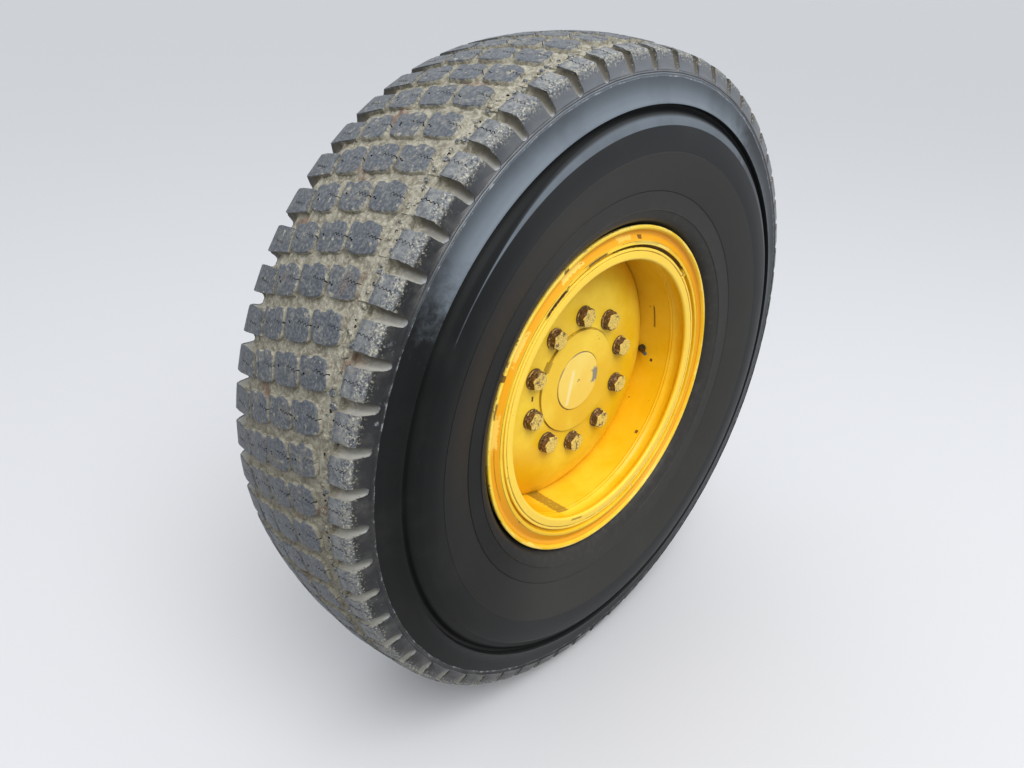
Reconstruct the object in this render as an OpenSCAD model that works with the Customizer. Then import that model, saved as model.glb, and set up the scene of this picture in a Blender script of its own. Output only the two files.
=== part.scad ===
// Motor grader drive wheel on its spindle: a lugged tyre on a three-piece rim,
// bolted to a flanged spindle that turns in a cast housing.
// +Z is up and the axle lies along Y. The housing's bolting face is at y = 0 and the
// wheel's outer face looks towards -Y. Lengths are millimetres, angles are degrees.

/* [Placement] */
// Distance from the bolting face to the middle plane of the wheel
wheel_offset = 226; // [222:1:240]
// Gap between two pieces that seat on each other without touching
seat_gap = 0.3; // [0.2:0.05:0.5]
// Radial clearance of a journal in its bearing
run_gap = 0.05; // [0.02:0.01:0.1]

/* [Tyre] */
// Radius over the middle of the tread
tread_r = 659; // [650:1:680]
// Half of the width between the two edges of the tread
tread_half = 158; // [150:1:162]
// Fall of the crown from its middle to the edge of the tread
crown_drop = 19; // [14:1:24]
// Half of the tyre's width at its widest
section_half = 191.5; // [186:0.5:196]
// Distance from the middle of the tread down to where the tyre is widest
section_drop = 189; // [180:1:198]
// Distance from the middle of the tread down to the thin ridge below the lugs
ridge_drop = 67; // [60:1:70]
// Distance from the middle of the tread down to the sharp step under the shoulder
step_drop = 102; // [96:1:108]
// Depth of the channel under the step
step_d = 9; // [6:0.5:12]
// Distance from the middle of the tread down to where the channel runs out
channel_drop = 139; // [132:1:144]
// Thickness of the sidewall
sidewall_t = 21; // [16:1:24]
// Rubber and cords left under the grooves
undertread_t = 24; // [18:1:30]

/* [Tread] */
// Number of lug pitches round the tyre
pitches = 60; // [54:1:66]
// Depth of the grooves between the lugs
groove_d = 13; // [8:1:16]
// Width of the grooves across the tread
cross_w = 14; // [10:1:18]
// Slant of the grooves across the tread
cross_slant = 14; // [8:1:18]
// Angle of one cross groove at the middle plane
cross_phase = 3.9; // [0:0.1:6]
// Width of the grooves round the tread
round_w = 7; // [5:0.5:9]
// Distance of the inner pair of round grooves from the middle plane
round_in = 31; // [28:1:34]
// Distance of the outer pair of round grooves from the middle plane
round_out = 95; // [90:1:98]
// Depth by which the inner part of a shoulder lug is stepped down
lug_step_d = 5; // [3:1:8]
// Width of that stepped part
lug_step_w = 25; // [18:1:30]
// Radius of the rounded notch in which a cross groove ends on the shoulder
notch_r = 10; // [8:0.5:12]
// Distance from the middle of the tread down to the end of a notch
notch_drop = 53; // [46:1:56]
// Angle of an outboard notch from the top of the wheel
notch_phase = 0.6; // [-1:0.1:2]

/* [Rim] */
// Half of the rim's width between its two flanges
rim_half = 127; // [120:1:134]
// Radius of the bead seats at the flanges
bead_r = 306; // [302:0.5:310]
// Height of a flange above its bead seat
flange_h = 37; // [33:0.5:40]
// Distance by which a flange curls out past its bead face
flange_out = 22; // [18:0.5:26]
// Thickness of a flange
flange_t = 8; // [6:0.5:10]
// Taper of the bead seats
seat_taper = 5; // [3:0.5:6]
// Width of the bead seats
seat_w = 50; // [44:1:56]
// Fall from the bead seats to the inner face of the rim base
well_drop = 23; // [20:1:27]
// Thickness of the rim base
base_t = 11; // [9:0.5:12]
// Fall from the inner face of the rim base to the gutter's lip
lip_drop = 8; // [5:1:11]
// Width of the gutter's lip
lip_w = 15; // [12:1:18]
// Depth of the gutter in which the lock ring lies
gutter_d = 5; // [3:0.5:6]
// Width of the gutter
gutter_w = 13; // [10:0.5:15]
// Gap between the two ends of the lock ring
ring_split = 9; // [6:1:14]
// Angle of that gap from the top of the wheel
split_angle = 48; // [40:1:56]

/* [Disc] */
// Distance from the middle plane to the outer face of the disc
disc_out = 59; // [54:1:64]
// Thickness of the disc
disc_t = 16; // [12:1:18]
// Radius at which the disc's flat middle ends
disc_flat_r = 165; // [160:1:174]
// Fall of the disc from its flat middle to the rim base
disc_fall = 46; // [40:1:50]
// Number of wheel bolts
bolts = 10; // [8:1:12]
// Radius of the wheel bolts' circle
bolt_circle_r = 142.9; // [138:0.1:146]
// Angle of the first wheel bolt from the top of the wheel
bolt_phase = 2.5; // [0:0.5:6]
// Radius of a wheel bolt's shank
bolt_r = 12; // [10:0.5:13]
// Width across the flats of a wheel bolt's head
bolt_af = 37; // [34:0.5:40]
// Height of a wheel bolt's head
bolt_head_h = 17; // [13:0.5:20]
// Radius of a washer
washer_r = 24.5; // [22:0.5:26]
// Thickness of a washer
washer_t = 4.5; // [3:0.5:6]
// Angle of the valve from the top of the wheel
valve_angle = 95; // [90:1:100]

/* [Spindle] */
// Radius of the pilot that centres the disc
pilot_r = 113; // [108:0.5:116]
// Distance by which the pilot stands proud of the disc
pilot_out = 6.5; // [3:0.5:9]
// Radius of the round cap in the middle of the pilot
cap_r = 63.4; // [58:0.1:68]
// Distance by which the cap stands proud of the pilot
cap_out = 2; // [1:0.5:4]
// Distance by which the spindle's flange ends short of the disc's bend
hub_margin = 2; // [1:0.5:6]
// Thickness of the spindle's flange
hub_t = 27; // [22:1:30]
// Radius of the journal in the outer bearing
journal_out_r = 70; // [64:1:74]
// Radius of the journal in the inner bearing
journal_in_r = 57.5; // [54:0.5:62]
// Radius over the splines at the driven end
spline_r = 48; // [44:0.5:50]
// Depth of the splines
spline_d = 4; // [3:0.5:5]
// Number of splines
splines = 24; // [18:1:30]
// Length of the splines
spline_l = 76; // [60:1:90]
// Radius of the plain end past the splines
tail_r = 36; // [32:1:40]
// Length of the plain end
tail_l = 14; // [10:1:20]

/* [Housing] */
// Radius of the housing's bolting flange
flange_r = 226; // [222:1:232]
// Thickness of the bolting flange
mount_t = 26; // [22:1:32]
// Radius of the spigot that centres the housing
spigot_r = 150; // [144:1:156]
// Length of the spigot
spigot_l = 18; // [12:1:24]
// Number of holes in the bolting flange
mount_holes = 12; // [8:1:16]
// Radius of the circle of those holes
mount_circle_r = 200; // [196:1:204]
// Radius of one of those holes
mount_hole_r = 9; // [8:0.25:11]
// Radius of the housing's drum, which holds the brake
drum_r = 176; // [170:1:182]
// Length of the drum from the bolting flange's front face
drum_l = 92; // [84:1:100]
// Radius of the housing's nose
nose_r = 132; // [126:1:138]
// Radius of the outer bearing's bore
bearing_out_r = 110; // [104:1:114]
// Radius of the inner bearing's bore
bearing_in_r = 98; // [94:1:102]
// Length of a bearing
bearing_l = 46; // [40:1:52]
// Number of ribs on the nose
ribs = 10; // [8:1:12]
// Thickness of a rib
rib_t = 12; // [8:1:16]
// Running gap between the spindle's flange and the housing's seal carrier
seal_run = 6; // [5:0.5:9]
// Length of the seal carrier
seal_l = 18; // [14:1:22]
// Running gap between the spindle and the bore of the seal carrier
seal_bore_gap = 5; // [5:0.5:8]

/* [Hidden] */
$fn = 96;

rim_paint = "#e8a60c";
rust_steel = "#7a4a2c";
tyre_rubber = "#23262a";
cast_paint = "#d99b10";
bare_steel = "#8d8f92";

mid_y = -wheel_offset;

// Radius of the crown at distance w from the middle plane
function crown(w) = tread_r - crown_drop * pow(w / tread_half, 2);

// Points of an arc round [x, y] from angle a0 to a1 in n steps
function arc(x, y, r, a0, a1, n) =
    [for (i = [0:n]) let (a = a0 + (a1 - a0) * i / n) [x + r * cos(a), y + r * sin(a)]];

// An outline of [radius, distance along the axle] turned round the axle
module turned(points) {
    rotate([-90, 0, 0]) rotate_extrude() polygon(points);
}

// A plain ring round the axle between two places on it
module ring(r_in, r_out, y0, y1) {
    turned([[r_in, y0], [r_out, y0], [r_out, y1], [r_in, y1]]);
}

// A round bar along the axle between two places on it
module bar(r, y0, y1) {
    translate([0, y0, 0]) rotate([-90, 0, 0]) cylinder(r = r, h = y1 - y0);
}

// Copies turned round the axle, the first at the given angle from the top
module around(count, first = 0) {
    for (i = [0:count - 1]) rotate([0, first + i * 360 / count, 0]) children();
}

// Moves what is drawn about the wheel's middle plane to its place
module on_wheel() {
    translate([0, mid_y, 0]) children();
}

// Tyre

heel_r = bead_r + seat_gap;
heel_w = rim_half - seat_gap;
toe_w = rim_half - seat_w;
toe_r = heel_r - (seat_w - 4) * tan(seat_taper);
lip_edge_r = bead_r + flange_h;

section_r = tread_r - section_drop;
channel_r = tread_r - channel_drop;
step_r = tread_r - step_drop;
ridge_r = tread_r - ridge_drop;
notch_end_r = tread_r - notch_drop;

// Quarter of an ellipse from [r0, w0] out to the tyre's widest place
function bulge(r0, w0, steps) = [for (i = [0:steps]) let (a = 90 * i / steps)
    [section_r - (section_r - r0) * cos(a), w0 + (section_half - w0) * sin(a)]];

// Outside of the tyre from the bead's toe up to the edge of the tread,
// as [radius, distance from the middle plane]
side_outside = concat(
    [[toe_r, toe_w], [heel_r, heel_w - 4], [heel_r + 4, heel_w]],
    [[lip_edge_r - 14, heel_w], [lip_edge_r - 3, heel_w + 5]],
    bulge(lip_edge_r + 6, heel_w + 16, 6),
    [[section_r + 30, section_half - 1], [channel_r, section_half - 4]],
    [[channel_r + 7, section_half - 13], [channel_r + 19, section_half - 12 - step_d]],
    [[step_r - 6, section_half - 12 - step_d], [step_r, section_half - 12]],
    [[ridge_r - 4, section_half - 16.5], [ridge_r, section_half - 15.5]],
    [[ridge_r + 4, section_half - 18], [notch_end_r, section_half - 21]]
);

crown_steps = 4;
crown_line = [for (i = [0:crown_steps])
    let (w = tread_half * (1 - i / crown_steps)) [crown(w), w]];
outside = concat(side_outside, crown_line);

inner_crown_r = tread_r - groove_d - undertread_t;
inside_half = [
    [toe_r + 6, toe_w + 1],
    [heel_r + 34, heel_w - 18],
    [lip_edge_r + 34, section_half - 22 - sidewall_t],
    [section_r, section_half - sidewall_t],
    [channel_r + 20, section_half - 12 - step_d - sidewall_t],
    [ridge_r - 10, tread_half - sidewall_t],
    [inner_crown_r - 12, tread_half - 52],
    [inner_crown_r, tread_half / 2],
    [inner_crown_r + 2, 0]
];

module tyre_body() {
    turned(concat(
        outside,
        [for (i = [len(outside) - 2:-1:0]) [outside[i][0], -outside[i][1]]],
        [for (p = inside_half) [p[0], -p[1]]],
        [for (i = [len(inside_half) - 2:-1:0]) inside_half[i]]
    ));
}

// Grooves round the tread, as [distance from the middle plane, width, depth]
round_grooves = [
    [-round_out, round_w, groove_d],
    [-round_in, round_w, groove_d],
    [round_in, round_w, groove_d],
    [round_out, round_w, groove_d],
    [-(round_out + (round_w + lug_step_w) / 2), lug_step_w, lug_step_d],
    [round_out + (round_w + lug_step_w) / 2, lug_step_w, lug_step_d]
];

module round_cuts() {
    for (g = round_grooves) {
        w = abs(g[0]);
        ring(crown(w) - g[2], tread_r + 10, g[0] - g[1] / 2, g[0] + g[1] / 2);
    }
}

cross_l = 2 * tread_half / cos(cross_slant) + 30;

module cross_cuts() {
    around(pitches, cross_phase)
        rotate([0, 0, cross_slant])
            translate([-cross_w / 2, -cross_l / 2, tread_r - crown_drop * 0.4 - groove_d])
                cube([cross_w, cross_l, groove_d + crown_drop]);
}

// Notches down the two shoulders, which lean with the shoulder's face
notch_sides = 8;
notch_lean = atan2(section_half - 21 - tread_half, crown(tread_half) - notch_end_r);

module notch_cuts() {
    for (side = [-1, 1]) {
        first = side < 0 ? notch_phase : 2 * cross_phase - notch_phase;
        around(pitches, first)
            translate([0, side * (section_half - 19), notch_end_r + notch_r])
                rotate([side * notch_lean, 0, 0]) rotate([0, 0, 22.5])
                    cylinder(r = notch_r, h = tread_r - notch_end_r + 20, $fn = notch_sides);
    }
}

module tyre() {
    color(tyre_rubber) on_wheel() difference() {
        tyre_body();
        round_cuts();
        cross_cuts();
        notch_cuts();
    }
}

// Rim

well_r = bead_r - well_drop;
lip_r = well_r - lip_drop;
base_r = well_r + base_t;
flange_end = rim_half + flange_out;

// Half a flange with its curl, as [radius, distance from the middle plane]
function flange_curl(r0) = [
    [r0, rim_half],
    [lip_edge_r - 15, rim_half],
    [lip_edge_r - 5, rim_half + 5],
    [lip_edge_r, flange_end - flange_t / 2],
    [lip_edge_r, flange_end],
    [lip_edge_r - flange_t, flange_end],
    [lip_edge_r - flange_t - 4, rim_half + flange_t + 7],
    [lip_edge_r - 21, rim_half + flange_t + 1],
    [lip_edge_r - 27, rim_half + flange_t + 1]
];

module rim_base() {
    gutter_in = flange_end - lip_w - gutter_w;
    color(rim_paint) on_wheel() difference() {
        turned(concat(
            [[well_r, -gutter_in + 8], [well_r + 2, -gutter_in], [well_r + 2, -gutter_in - 8]],
            [[lip_r + 3, -flange_end + lip_w], [lip_r, -flange_end + lip_w - 5]],
            [[lip_r, -flange_end + 5], [lip_r + 3, -flange_end + 1]],
            [[base_r - 8, -flange_end + 1], [base_r - 3, -flange_end + 5]],
            [[base_r - 3, -flange_end + lip_w]],
            [[base_r - gutter_d, -flange_end + lip_w], [base_r - gutter_d, -gutter_in]],
            [[base_r, -gutter_in + 3], [base_r, toe_w - 14], [toe_r - seat_gap, toe_w]],
            [[bead_r, rim_half - 4], [bead_r + 4, rim_half]],
            [for (i = [1:8]) flange_curl(bead_r + 4)[i]],
            [[bead_r - 4, rim_half + flange_t - 2], [base_r - 4, rim_half + flange_t - 8]],
            [[well_r, rim_half - 12]]
        ));
        rotate([0, valve_angle, 0]) translate([0, valve_y, well_r - 5])
            cylinder(r = valve_hole_r, h = base_t + 15);
    }
}

module side_ring() {
    seat_in = -toe_w;
    bevel = 8;
    color(rim_paint) on_wheel() turned(concat(
        [[base_r + seat_gap, seat_in], [toe_r - seat_gap, seat_in]],
        [[bead_r, -rim_half + 4], [bead_r + 4, -rim_half]],
        [for (i = [1:8]) [flange_curl(0)[i][0], -flange_curl(0)[i][1]]],
        [[bead_r + 5, -flange_end + 5], [bead_r + 1, -flange_end + 2]],
        [[base_r + bevel, -flange_end + 4], [base_r + bevel, -flange_end + lip_w - 4]],
        [[base_r + seat_gap, -flange_end + lip_w + bevel - 4]]
    ));
}

module lock_ring() {
    gap = seat_gap;
    bevel = 8;
    color(rim_paint) on_wheel() difference() {
        turned([
            [base_r - gutter_d + gap, -flange_end + lip_w + gap],
            [base_r - 3 + gap, -flange_end + lip_w + gap],
            [base_r - 3 + gap, -flange_end + 7],
            [base_r + bevel - 2, -flange_end + 7],
            [base_r + bevel - gap, -flange_end + 9],
            [base_r + bevel - gap, -flange_end + lip_w - 4 - gap],
            [base_r, -flange_end + lip_w + bevel - 4 - 3 * gap],
            [base_r - gutter_d + gap, -flange_end + lip_w + gutter_w - 5]
        ]);
        rotate([0, split_angle, 0])
            translate([-ring_split / 2, -flange_end - 10, base_r - 20])
                cube([ring_split, 60, 50]);
    }
}

// Disc

disc_in = disc_out - disc_t;
disc_run = well_r - seat_gap - disc_flat_r;
disc_bend_r = (disc_run * disc_run + disc_fall * disc_fall) / (2 * disc_fall);
disc_bend_a = asin(disc_run / disc_bend_r);

module rim_disc() {
    steps = 8;
    thin = disc_bend_r - disc_t;
    outer_face = arc(disc_flat_r, -disc_out + disc_bend_r, disc_bend_r, -90, disc_bend_a - 90, steps);
    inner_face = arc(disc_flat_r, -disc_out + disc_bend_r, thin, disc_bend_a - 90, -90, steps);
    color(rim_paint) on_wheel() difference() {
        intersection() {
            turned(concat(
                [[pilot_r + seat_gap, -disc_out]], outer_face,
                [[outer_face[steps][0], outer_face[steps][1] + disc_t * 0.7]],
                inner_face, [[pilot_r + seat_gap, -disc_in]]
            ));
            bar(well_r - seat_gap, -flange_end, flange_end);
        }
        around(bolts, bolt_phase)
            translate([0, -disc_out - 5, bolt_circle_r])
                rotate([-90, 0, 0]) cylinder(r = bolt_r + 1, h = disc_t + 10);
    }
}

// Valve

valve_y = -disc_out + disc_fall - 16;
valve_hole_r = 8;
valve_r = 7;
valve_lean = 50;
valve_l = 34;

module valve() {
    color(bare_steel) on_wheel() rotate([0, valve_angle, 0]) translate([0, valve_y, well_r]) {
        translate([0, 0, -4]) cylinder(r = valve_r, h = base_t + 6);
        translate([0, 0, -7]) cylinder(r = valve_r + 2, h = 7 - 2 * seat_gap);
        translate([0, 0, -7]) sphere(r = valve_r - 1, $fn = 24);
        translate([0, 0, -7]) rotate([180 - valve_lean, 0, 0]) cylinder(r = 4.5, h = valve_l);
    }
}

// Spindle

hub_r = disc_flat_r - hub_margin;
hub_front = mid_y - disc_in + seat_gap;
hub_back = hub_front + hub_t;
seal_front = hub_back + seal_run;
seal_back = seal_front + seal_l;
out_bearing_y = seal_back + seat_gap;
in_bearing_y = -bearing_l - 6;
nut_y = in_bearing_y + bearing_l + seat_gap;
nut_l = 22;
spline_y = nut_y + nut_l + 4;
spline_end = spline_y + spline_l;
pilot_front = mid_y - disc_out - pilot_out;
seal_r = journal_out_r + 14;

function spline_outline() = [for (i = [0:splines - 1], k = [0:3])
    let (a = (i + [0, 0.42, 0.54, 0.88][k]) * 360 / splines,
         r = k < 2 ? spline_r : spline_r - spline_d) [r * cos(a), r * sin(a)]];

module spindle() {
    color(cast_paint) difference() {
        union() {
            turned([
                [0, pilot_front], [pilot_r - 2, pilot_front], [pilot_r, pilot_front + 2],
                [pilot_r, hub_front], [hub_r - 3, hub_front], [hub_r, hub_front + 3],
                [hub_r, hub_back - 4], [hub_r - 4, hub_back], [seal_r + 22, hub_back],
                [seal_r, hub_back + 4], [seal_r, seal_back + seat_gap / 2],
                [journal_out_r, seal_back + seat_gap / 2],
                [journal_out_r, out_bearing_y + bearing_l + 4],
                [journal_in_r + 3, in_bearing_y - 14],
                [journal_in_r + 3, in_bearing_y - seat_gap],
                [journal_in_r, in_bearing_y - seat_gap],
                [journal_in_r, nut_y + nut_l], [spline_r - spline_d, nut_y + nut_l + 3],
                [spline_r - spline_d, spline_end], [tail_r, spline_end + 2],
                [tail_r, spline_end + tail_l - 2], [tail_r - 2, spline_end + tail_l],
                [0, spline_end + tail_l]
            ]);
            translate([0, spline_y, 0]) rotate([-90, 0, 0])
                linear_extrude(spline_l) polygon(spline_outline());
        }
        bar(cap_r + seat_gap, pilot_front - 1, pilot_front + 8);
        around(bolts, bolt_phase)
            translate([0, hub_front - 1, bolt_circle_r])
                rotate([-90, 0, 0]) cylinder(r = bolt_r + seat_gap, h = hub_t + 2);
    }
}

module spindle_cap() {
    dimple_r = 4;
    cap_front = pilot_front - cap_out;
    color(cast_paint) difference() {
        turned([
            [0, cap_front], [cap_r - 1.5, cap_front], [cap_r, cap_front + 1.5],
            [cap_r, pilot_front + 8 - seat_gap], [0, pilot_front + 8 - seat_gap]
        ]);
        bar(dimple_r, cap_front - 1, cap_front + 3);
    }
}

module bearing_nut() {
    nut_r = journal_in_r + 18;
    color(bare_steel) difference() {
        turned([
            [journal_in_r + seat_gap, nut_y], [nut_r, nut_y], [nut_r, nut_y + nut_l - 3],
            [nut_r - 3, nut_y + nut_l], [journal_in_r + seat_gap, nut_y + nut_l]
        ]);
        around(4, 45) translate([-6, nut_y + 8, nut_r - 7]) cube([12, nut_l, 10]);
    }
}

module washers() {
    y0 = mid_y - disc_out - seat_gap - washer_t;
    color(rust_steel) around(bolts, bolt_phase) translate([0, y0, bolt_circle_r])
        rotate([-90, 0, 0]) difference() {
            cylinder(r = washer_r, h = washer_t);
            translate([0, 0, -1]) cylinder(r = bolt_r + 0.5, h = washer_t + 2);
        }
}

module wheel_bolts() {
    under_head = mid_y - disc_out - 2 * seat_gap - washer_t;
    shank_l = hub_back - 2 - under_head;
    head_r = bolt_af / 2 / cos(30);
    color(rust_steel) around(bolts, bolt_phase)
        translate([0, under_head, bolt_circle_r]) rotate([-90, 0, 0]) {
            translate([0, 0, -bolt_head_h]) intersection() {
                cylinder(r = head_r, h = bolt_head_h, $fn = 6);
                cylinder(r1 = bolt_af / 2, r2 = bolt_af / 2 + bolt_head_h * 2, h = bolt_head_h);
            }
            cylinder(r = bolt_r, h = shank_l);
        }
}

// Housing

nose_front = seal_back;
drum_front = -mount_t - drum_l;

module housing() {
    color(cast_paint) difference() {
        union() {
            turned([
                [bearing_out_r, nose_front], [nose_r - 4, nose_front], [nose_r, nose_front + 4],
                [nose_r + 4, drum_front - 14], [drum_r - 10, drum_front],
                [drum_r, drum_front + 10], [drum_r + 3, -mount_t - 8],
                [drum_r + 11, -mount_t], [flange_r - 3, -mount_t], [flange_r, -mount_t + 3],
                [flange_r, -3], [flange_r - 3, 0], [spigot_r, 0], [spigot_r, spigot_l - 3],
                [spigot_r - 3, spigot_l], [bearing_in_r + 12, spigot_l],
                [bearing_in_r, 0], [bearing_in_r, in_bearing_y],
                [bearing_in_r - 12, in_bearing_y], [bearing_in_r - 12, in_bearing_y - 14],
                [bearing_out_r - 12, out_bearing_y + bearing_l + 14],
                [bearing_out_r - 12, out_bearing_y + bearing_l],
                [bearing_out_r, out_bearing_y + bearing_l]
            ]);
            around(ribs, 180 / ribs)
                translate([-rib_t / 2, nose_front + 8, nose_r - 8])
                    cube([rib_t, drum_front - nose_front, drum_r - nose_r]);
        }
        around(mount_holes, 180 / mount_holes)
            translate([0, -mount_t - 1, mount_circle_r])
                rotate([-90, 0, 0]) cylinder(r = mount_hole_r, h = mount_t + 2);
        around(2, 0)
            translate([0, drum_front + drum_l / 2, bearing_out_r])
                cylinder(r = plug_r + seat_gap, h = drum_r);
    }
}

plug_r = 10;

module drain_plugs() {
    color(bare_steel) around(2, 0)
        translate([0, drum_front + drum_l / 2, 0]) {
            translate([0, 0, drum_r - 18]) cylinder(r = plug_r, h = 16);
            translate([0, 0, drum_r - 2]) cylinder(r = plug_r * 0.8, h = 10, $fn = 6);
        }
}

module seal_carrier() {
    color(cast_paint) turned([
        [seal_r + seal_bore_gap, seal_front], [nose_r - 10, seal_front],
        [nose_r - 2, seal_front + 6], [nose_r - 2, seal_back - seat_gap],
        [seal_r + seal_bore_gap, seal_back - seat_gap]
    ]);
}

module outer_bearing() {
    color(bare_steel) ring(journal_out_r + run_gap, bearing_out_r - run_gap / 2,
        out_bearing_y, out_bearing_y + bearing_l - seat_gap);
}

module inner_bearing() {
    color(bare_steel) ring(journal_in_r + run_gap, bearing_in_r - run_gap / 2,
        in_bearing_y + seat_gap / 2, in_bearing_y + bearing_l);
}

housing();
seal_carrier();
outer_bearing();
inner_bearing();
drain_plugs();
tyre();
rim_base();
side_ring();
lock_ring();
rim_disc();
spindle();
spindle_cap();
bearing_nut();
washers();
wheel_bolts();
valve();
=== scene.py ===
"""Looks of a motor grader's drive wheel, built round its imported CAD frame.

The tyre, the three-piece rim, the dished disc, the wheel bolts and the spindle are
remodelled in fine detail; the bearings keep their CAD shape. The axle lies along Y and
the wheel's outer face looks towards -Y. Outlines are written as (radius, place along the
axle from the wheel's middle plane, rounding), all in millimetres.
"""

import logging
import math
import random
from dataclasses import dataclass
from enum import Enum
from typing import Callable, Sequence

import bmesh
import bpy
from mathutils import Matrix, Vector, noise


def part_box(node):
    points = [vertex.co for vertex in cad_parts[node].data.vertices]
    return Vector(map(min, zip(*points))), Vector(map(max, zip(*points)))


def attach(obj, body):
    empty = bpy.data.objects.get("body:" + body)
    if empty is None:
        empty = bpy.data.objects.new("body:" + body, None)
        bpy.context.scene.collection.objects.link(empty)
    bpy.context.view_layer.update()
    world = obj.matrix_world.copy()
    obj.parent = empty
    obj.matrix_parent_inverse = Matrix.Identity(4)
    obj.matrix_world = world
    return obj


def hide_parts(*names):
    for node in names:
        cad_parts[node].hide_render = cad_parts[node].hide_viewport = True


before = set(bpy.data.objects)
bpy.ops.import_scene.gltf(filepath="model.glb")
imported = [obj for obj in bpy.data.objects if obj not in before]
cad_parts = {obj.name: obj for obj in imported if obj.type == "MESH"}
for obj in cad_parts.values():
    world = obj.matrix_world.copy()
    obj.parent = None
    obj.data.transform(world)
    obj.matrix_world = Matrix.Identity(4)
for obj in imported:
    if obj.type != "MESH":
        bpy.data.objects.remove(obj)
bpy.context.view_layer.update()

LOG = logging.getLogger("grader_wheel")
MM = 0.001
FULL_TURN = 2 * math.pi
WELD = 0.01
PLAIN, CRACK, TROUGH = range(3)
Corner = tuple[float, float, float]
Colour = tuple[float, float, float]
Spot = tuple[float, float]
Shape = bmesh.types.BMesh
Verts = Sequence[bmesh.types.BMVert]
Piece = bpy.types.Object
Material = bpy.types.Material


class Body(Enum):
    """Bodies of the frame that the pieces ride on."""

    HOUSING = "housing"
    WHEEL = "wheel"


class Slot(Enum):
    """Material slots of the record."""

    RUBBER = "tyre_rubber"
    RIM = "rim_paint"
    CAST = "cast_paint"
    RUSTY = "rusty_steel"
    BRIGHT = "bright_steel"


# Shaping


def placed(bm: Shape, name: str) -> Piece:
    """Makes an object of a bmesh, which is freed, and returns it.

    Args:
        bm: The shape, which is freed.
        name: Name of the object.

    Returns:
        The new object.
    """
    mesh = bpy.data.meshes.new(name)
    bm.to_mesh(mesh)
    bm.free()
    made = bpy.data.objects.new(name, mesh)
    bpy.context.scene.collection.objects.link(made)
    return made


def finished(bm: Shape, name: str, sharp: float = 32.0, along: float = 0.0) -> Piece:
    """Makes an object at the origin from a bmesh drawn in millimetres.

    Args:
        bm: The shape, which is freed.
        name: Name of the piece.
        sharp: Edges that turn by more than this many degrees stay sharp.
        along: How far the shape is first moved along the axle.

    Returns:
        The new object.
    """
    bmesh.ops.translate(bm, vec=(0, along, 0), verts=bm.verts)
    bmesh.ops.scale(bm, vec=(MM,) * 3, verts=bm.verts)
    bmesh.ops.recalc_face_normals(bm, faces=bm.faces)
    limit = math.radians(sharp)
    for edge in bm.edges:
        edge.smooth = len(edge.link_faces) == 2 and edge.calc_face_angle(0.0) < limit
    for face in bm.faces:
        face.smooth = True
    return placed(bm, name)


def scratch(bm: Shape, mark: int = PLAIN) -> Piece:
    """A scratch object, still in millimetres, whose faces carry a material index.

    Args:
        bm: The shape, which is freed.
        mark: Material index of all its faces.

    Returns:
        The new object.
    """
    for face in bm.faces:
        face.material_index = mark
    made = placed(bm, "scratch")
    for _ in range(2):
        made.data.materials.append(None)
    return made


def layered() -> Shape:
    """An empty bmesh whose points can say how deep they lie.

    Returns:
        The bmesh, with its layer sunk.
    """
    bm = bmesh.new()
    bm.verts.layers.float.new("sunk")
    return bm


def added(bm: Shape, mesh: bpy.types.Mesh) -> Verts:
    """Adds a mesh and returns its points.

    Args:
        bm: Where the mesh goes.
        mesh: What is added.

    Returns:
        The new points.
    """
    first = len(bm.verts)
    bm.from_mesh(mesh)
    bm.verts.ensure_lookup_table()
    return bm.verts[first:]


def rotated(bm: Shape, verts: Verts, angle: float, axis: str = "Y") -> None:
    """Turns points about an axis through the wheel's centre."""
    bmesh.ops.rotate(bm, cent=(0, 0, 0), matrix=Matrix.Rotation(angle, 3, axis), verts=verts)


def swung(bm: Shape, geom: Sequence, angle: float, steps: int) -> None:
    """Spins part of a shape about the axle; a full turn closes on itself."""
    bmesh.ops.spin(
        bm, geom=geom, cent=(0, 0, 0), axis=(0, 1, 0), angle=angle, steps=steps,
        use_merge=angle == FULL_TURN,
    )


def swept(bm: Shape, faces: Sequence, by: Corner) -> Verts:
    """Sweeps faces into a solid and returns the points of its far end.

    Args:
        bm: Holds the faces.
        faces: What is swept.
        by: How far, along each axis.

    Returns:
        The points of the far end.
    """
    geom = bmesh.ops.extrude_face_region(bm, geom=faces)["geom"]
    ends = [v for v in geom if isinstance(v, bmesh.types.BMVert)]
    bmesh.ops.translate(bm, vec=by, verts=ends)
    bmesh.ops.recalc_face_normals(bm, faces=bm.faces)
    return ends


def bevelled(
    bm: Shape, geom: Sequence, size: float, segments: int, affect: str = "EDGES", clamp: bool = False
) -> None:
    """Rounds the edges or the corners of a shape."""
    bmesh.ops.bevel(
        bm, geom=geom, offset=size, offset_type="OFFSET", segments=segments, profile=0.5,
        affect=affect, material=-1, clamp_overlap=clamp,
    )


def outline(bm: Shape, corners: Sequence[Corner], closed: bool = True) -> None:
    """Draws an outline in the plane of the axle and rounds its corners.

    Args:
        bm: Where it is drawn.
        corners: Its corners in order.
        closed: Whether the last corner joins the first.
    """
    verts = [bm.verts.new((0.0, place, radius)) for radius, place, _ in corners]
    for one, two in zip(verts, verts[1:] + verts[:1] if closed else verts[1:]):
        bm.edges.new((one, two))
    for size in sorted({c[2] for c in corners if c[2] > 0}):
        picked = [v for v, c in zip(verts, corners) if c[2] == size]
        bevelled(bm, picked, size, 4 if size > 1 else 2, "VERTICES")


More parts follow.
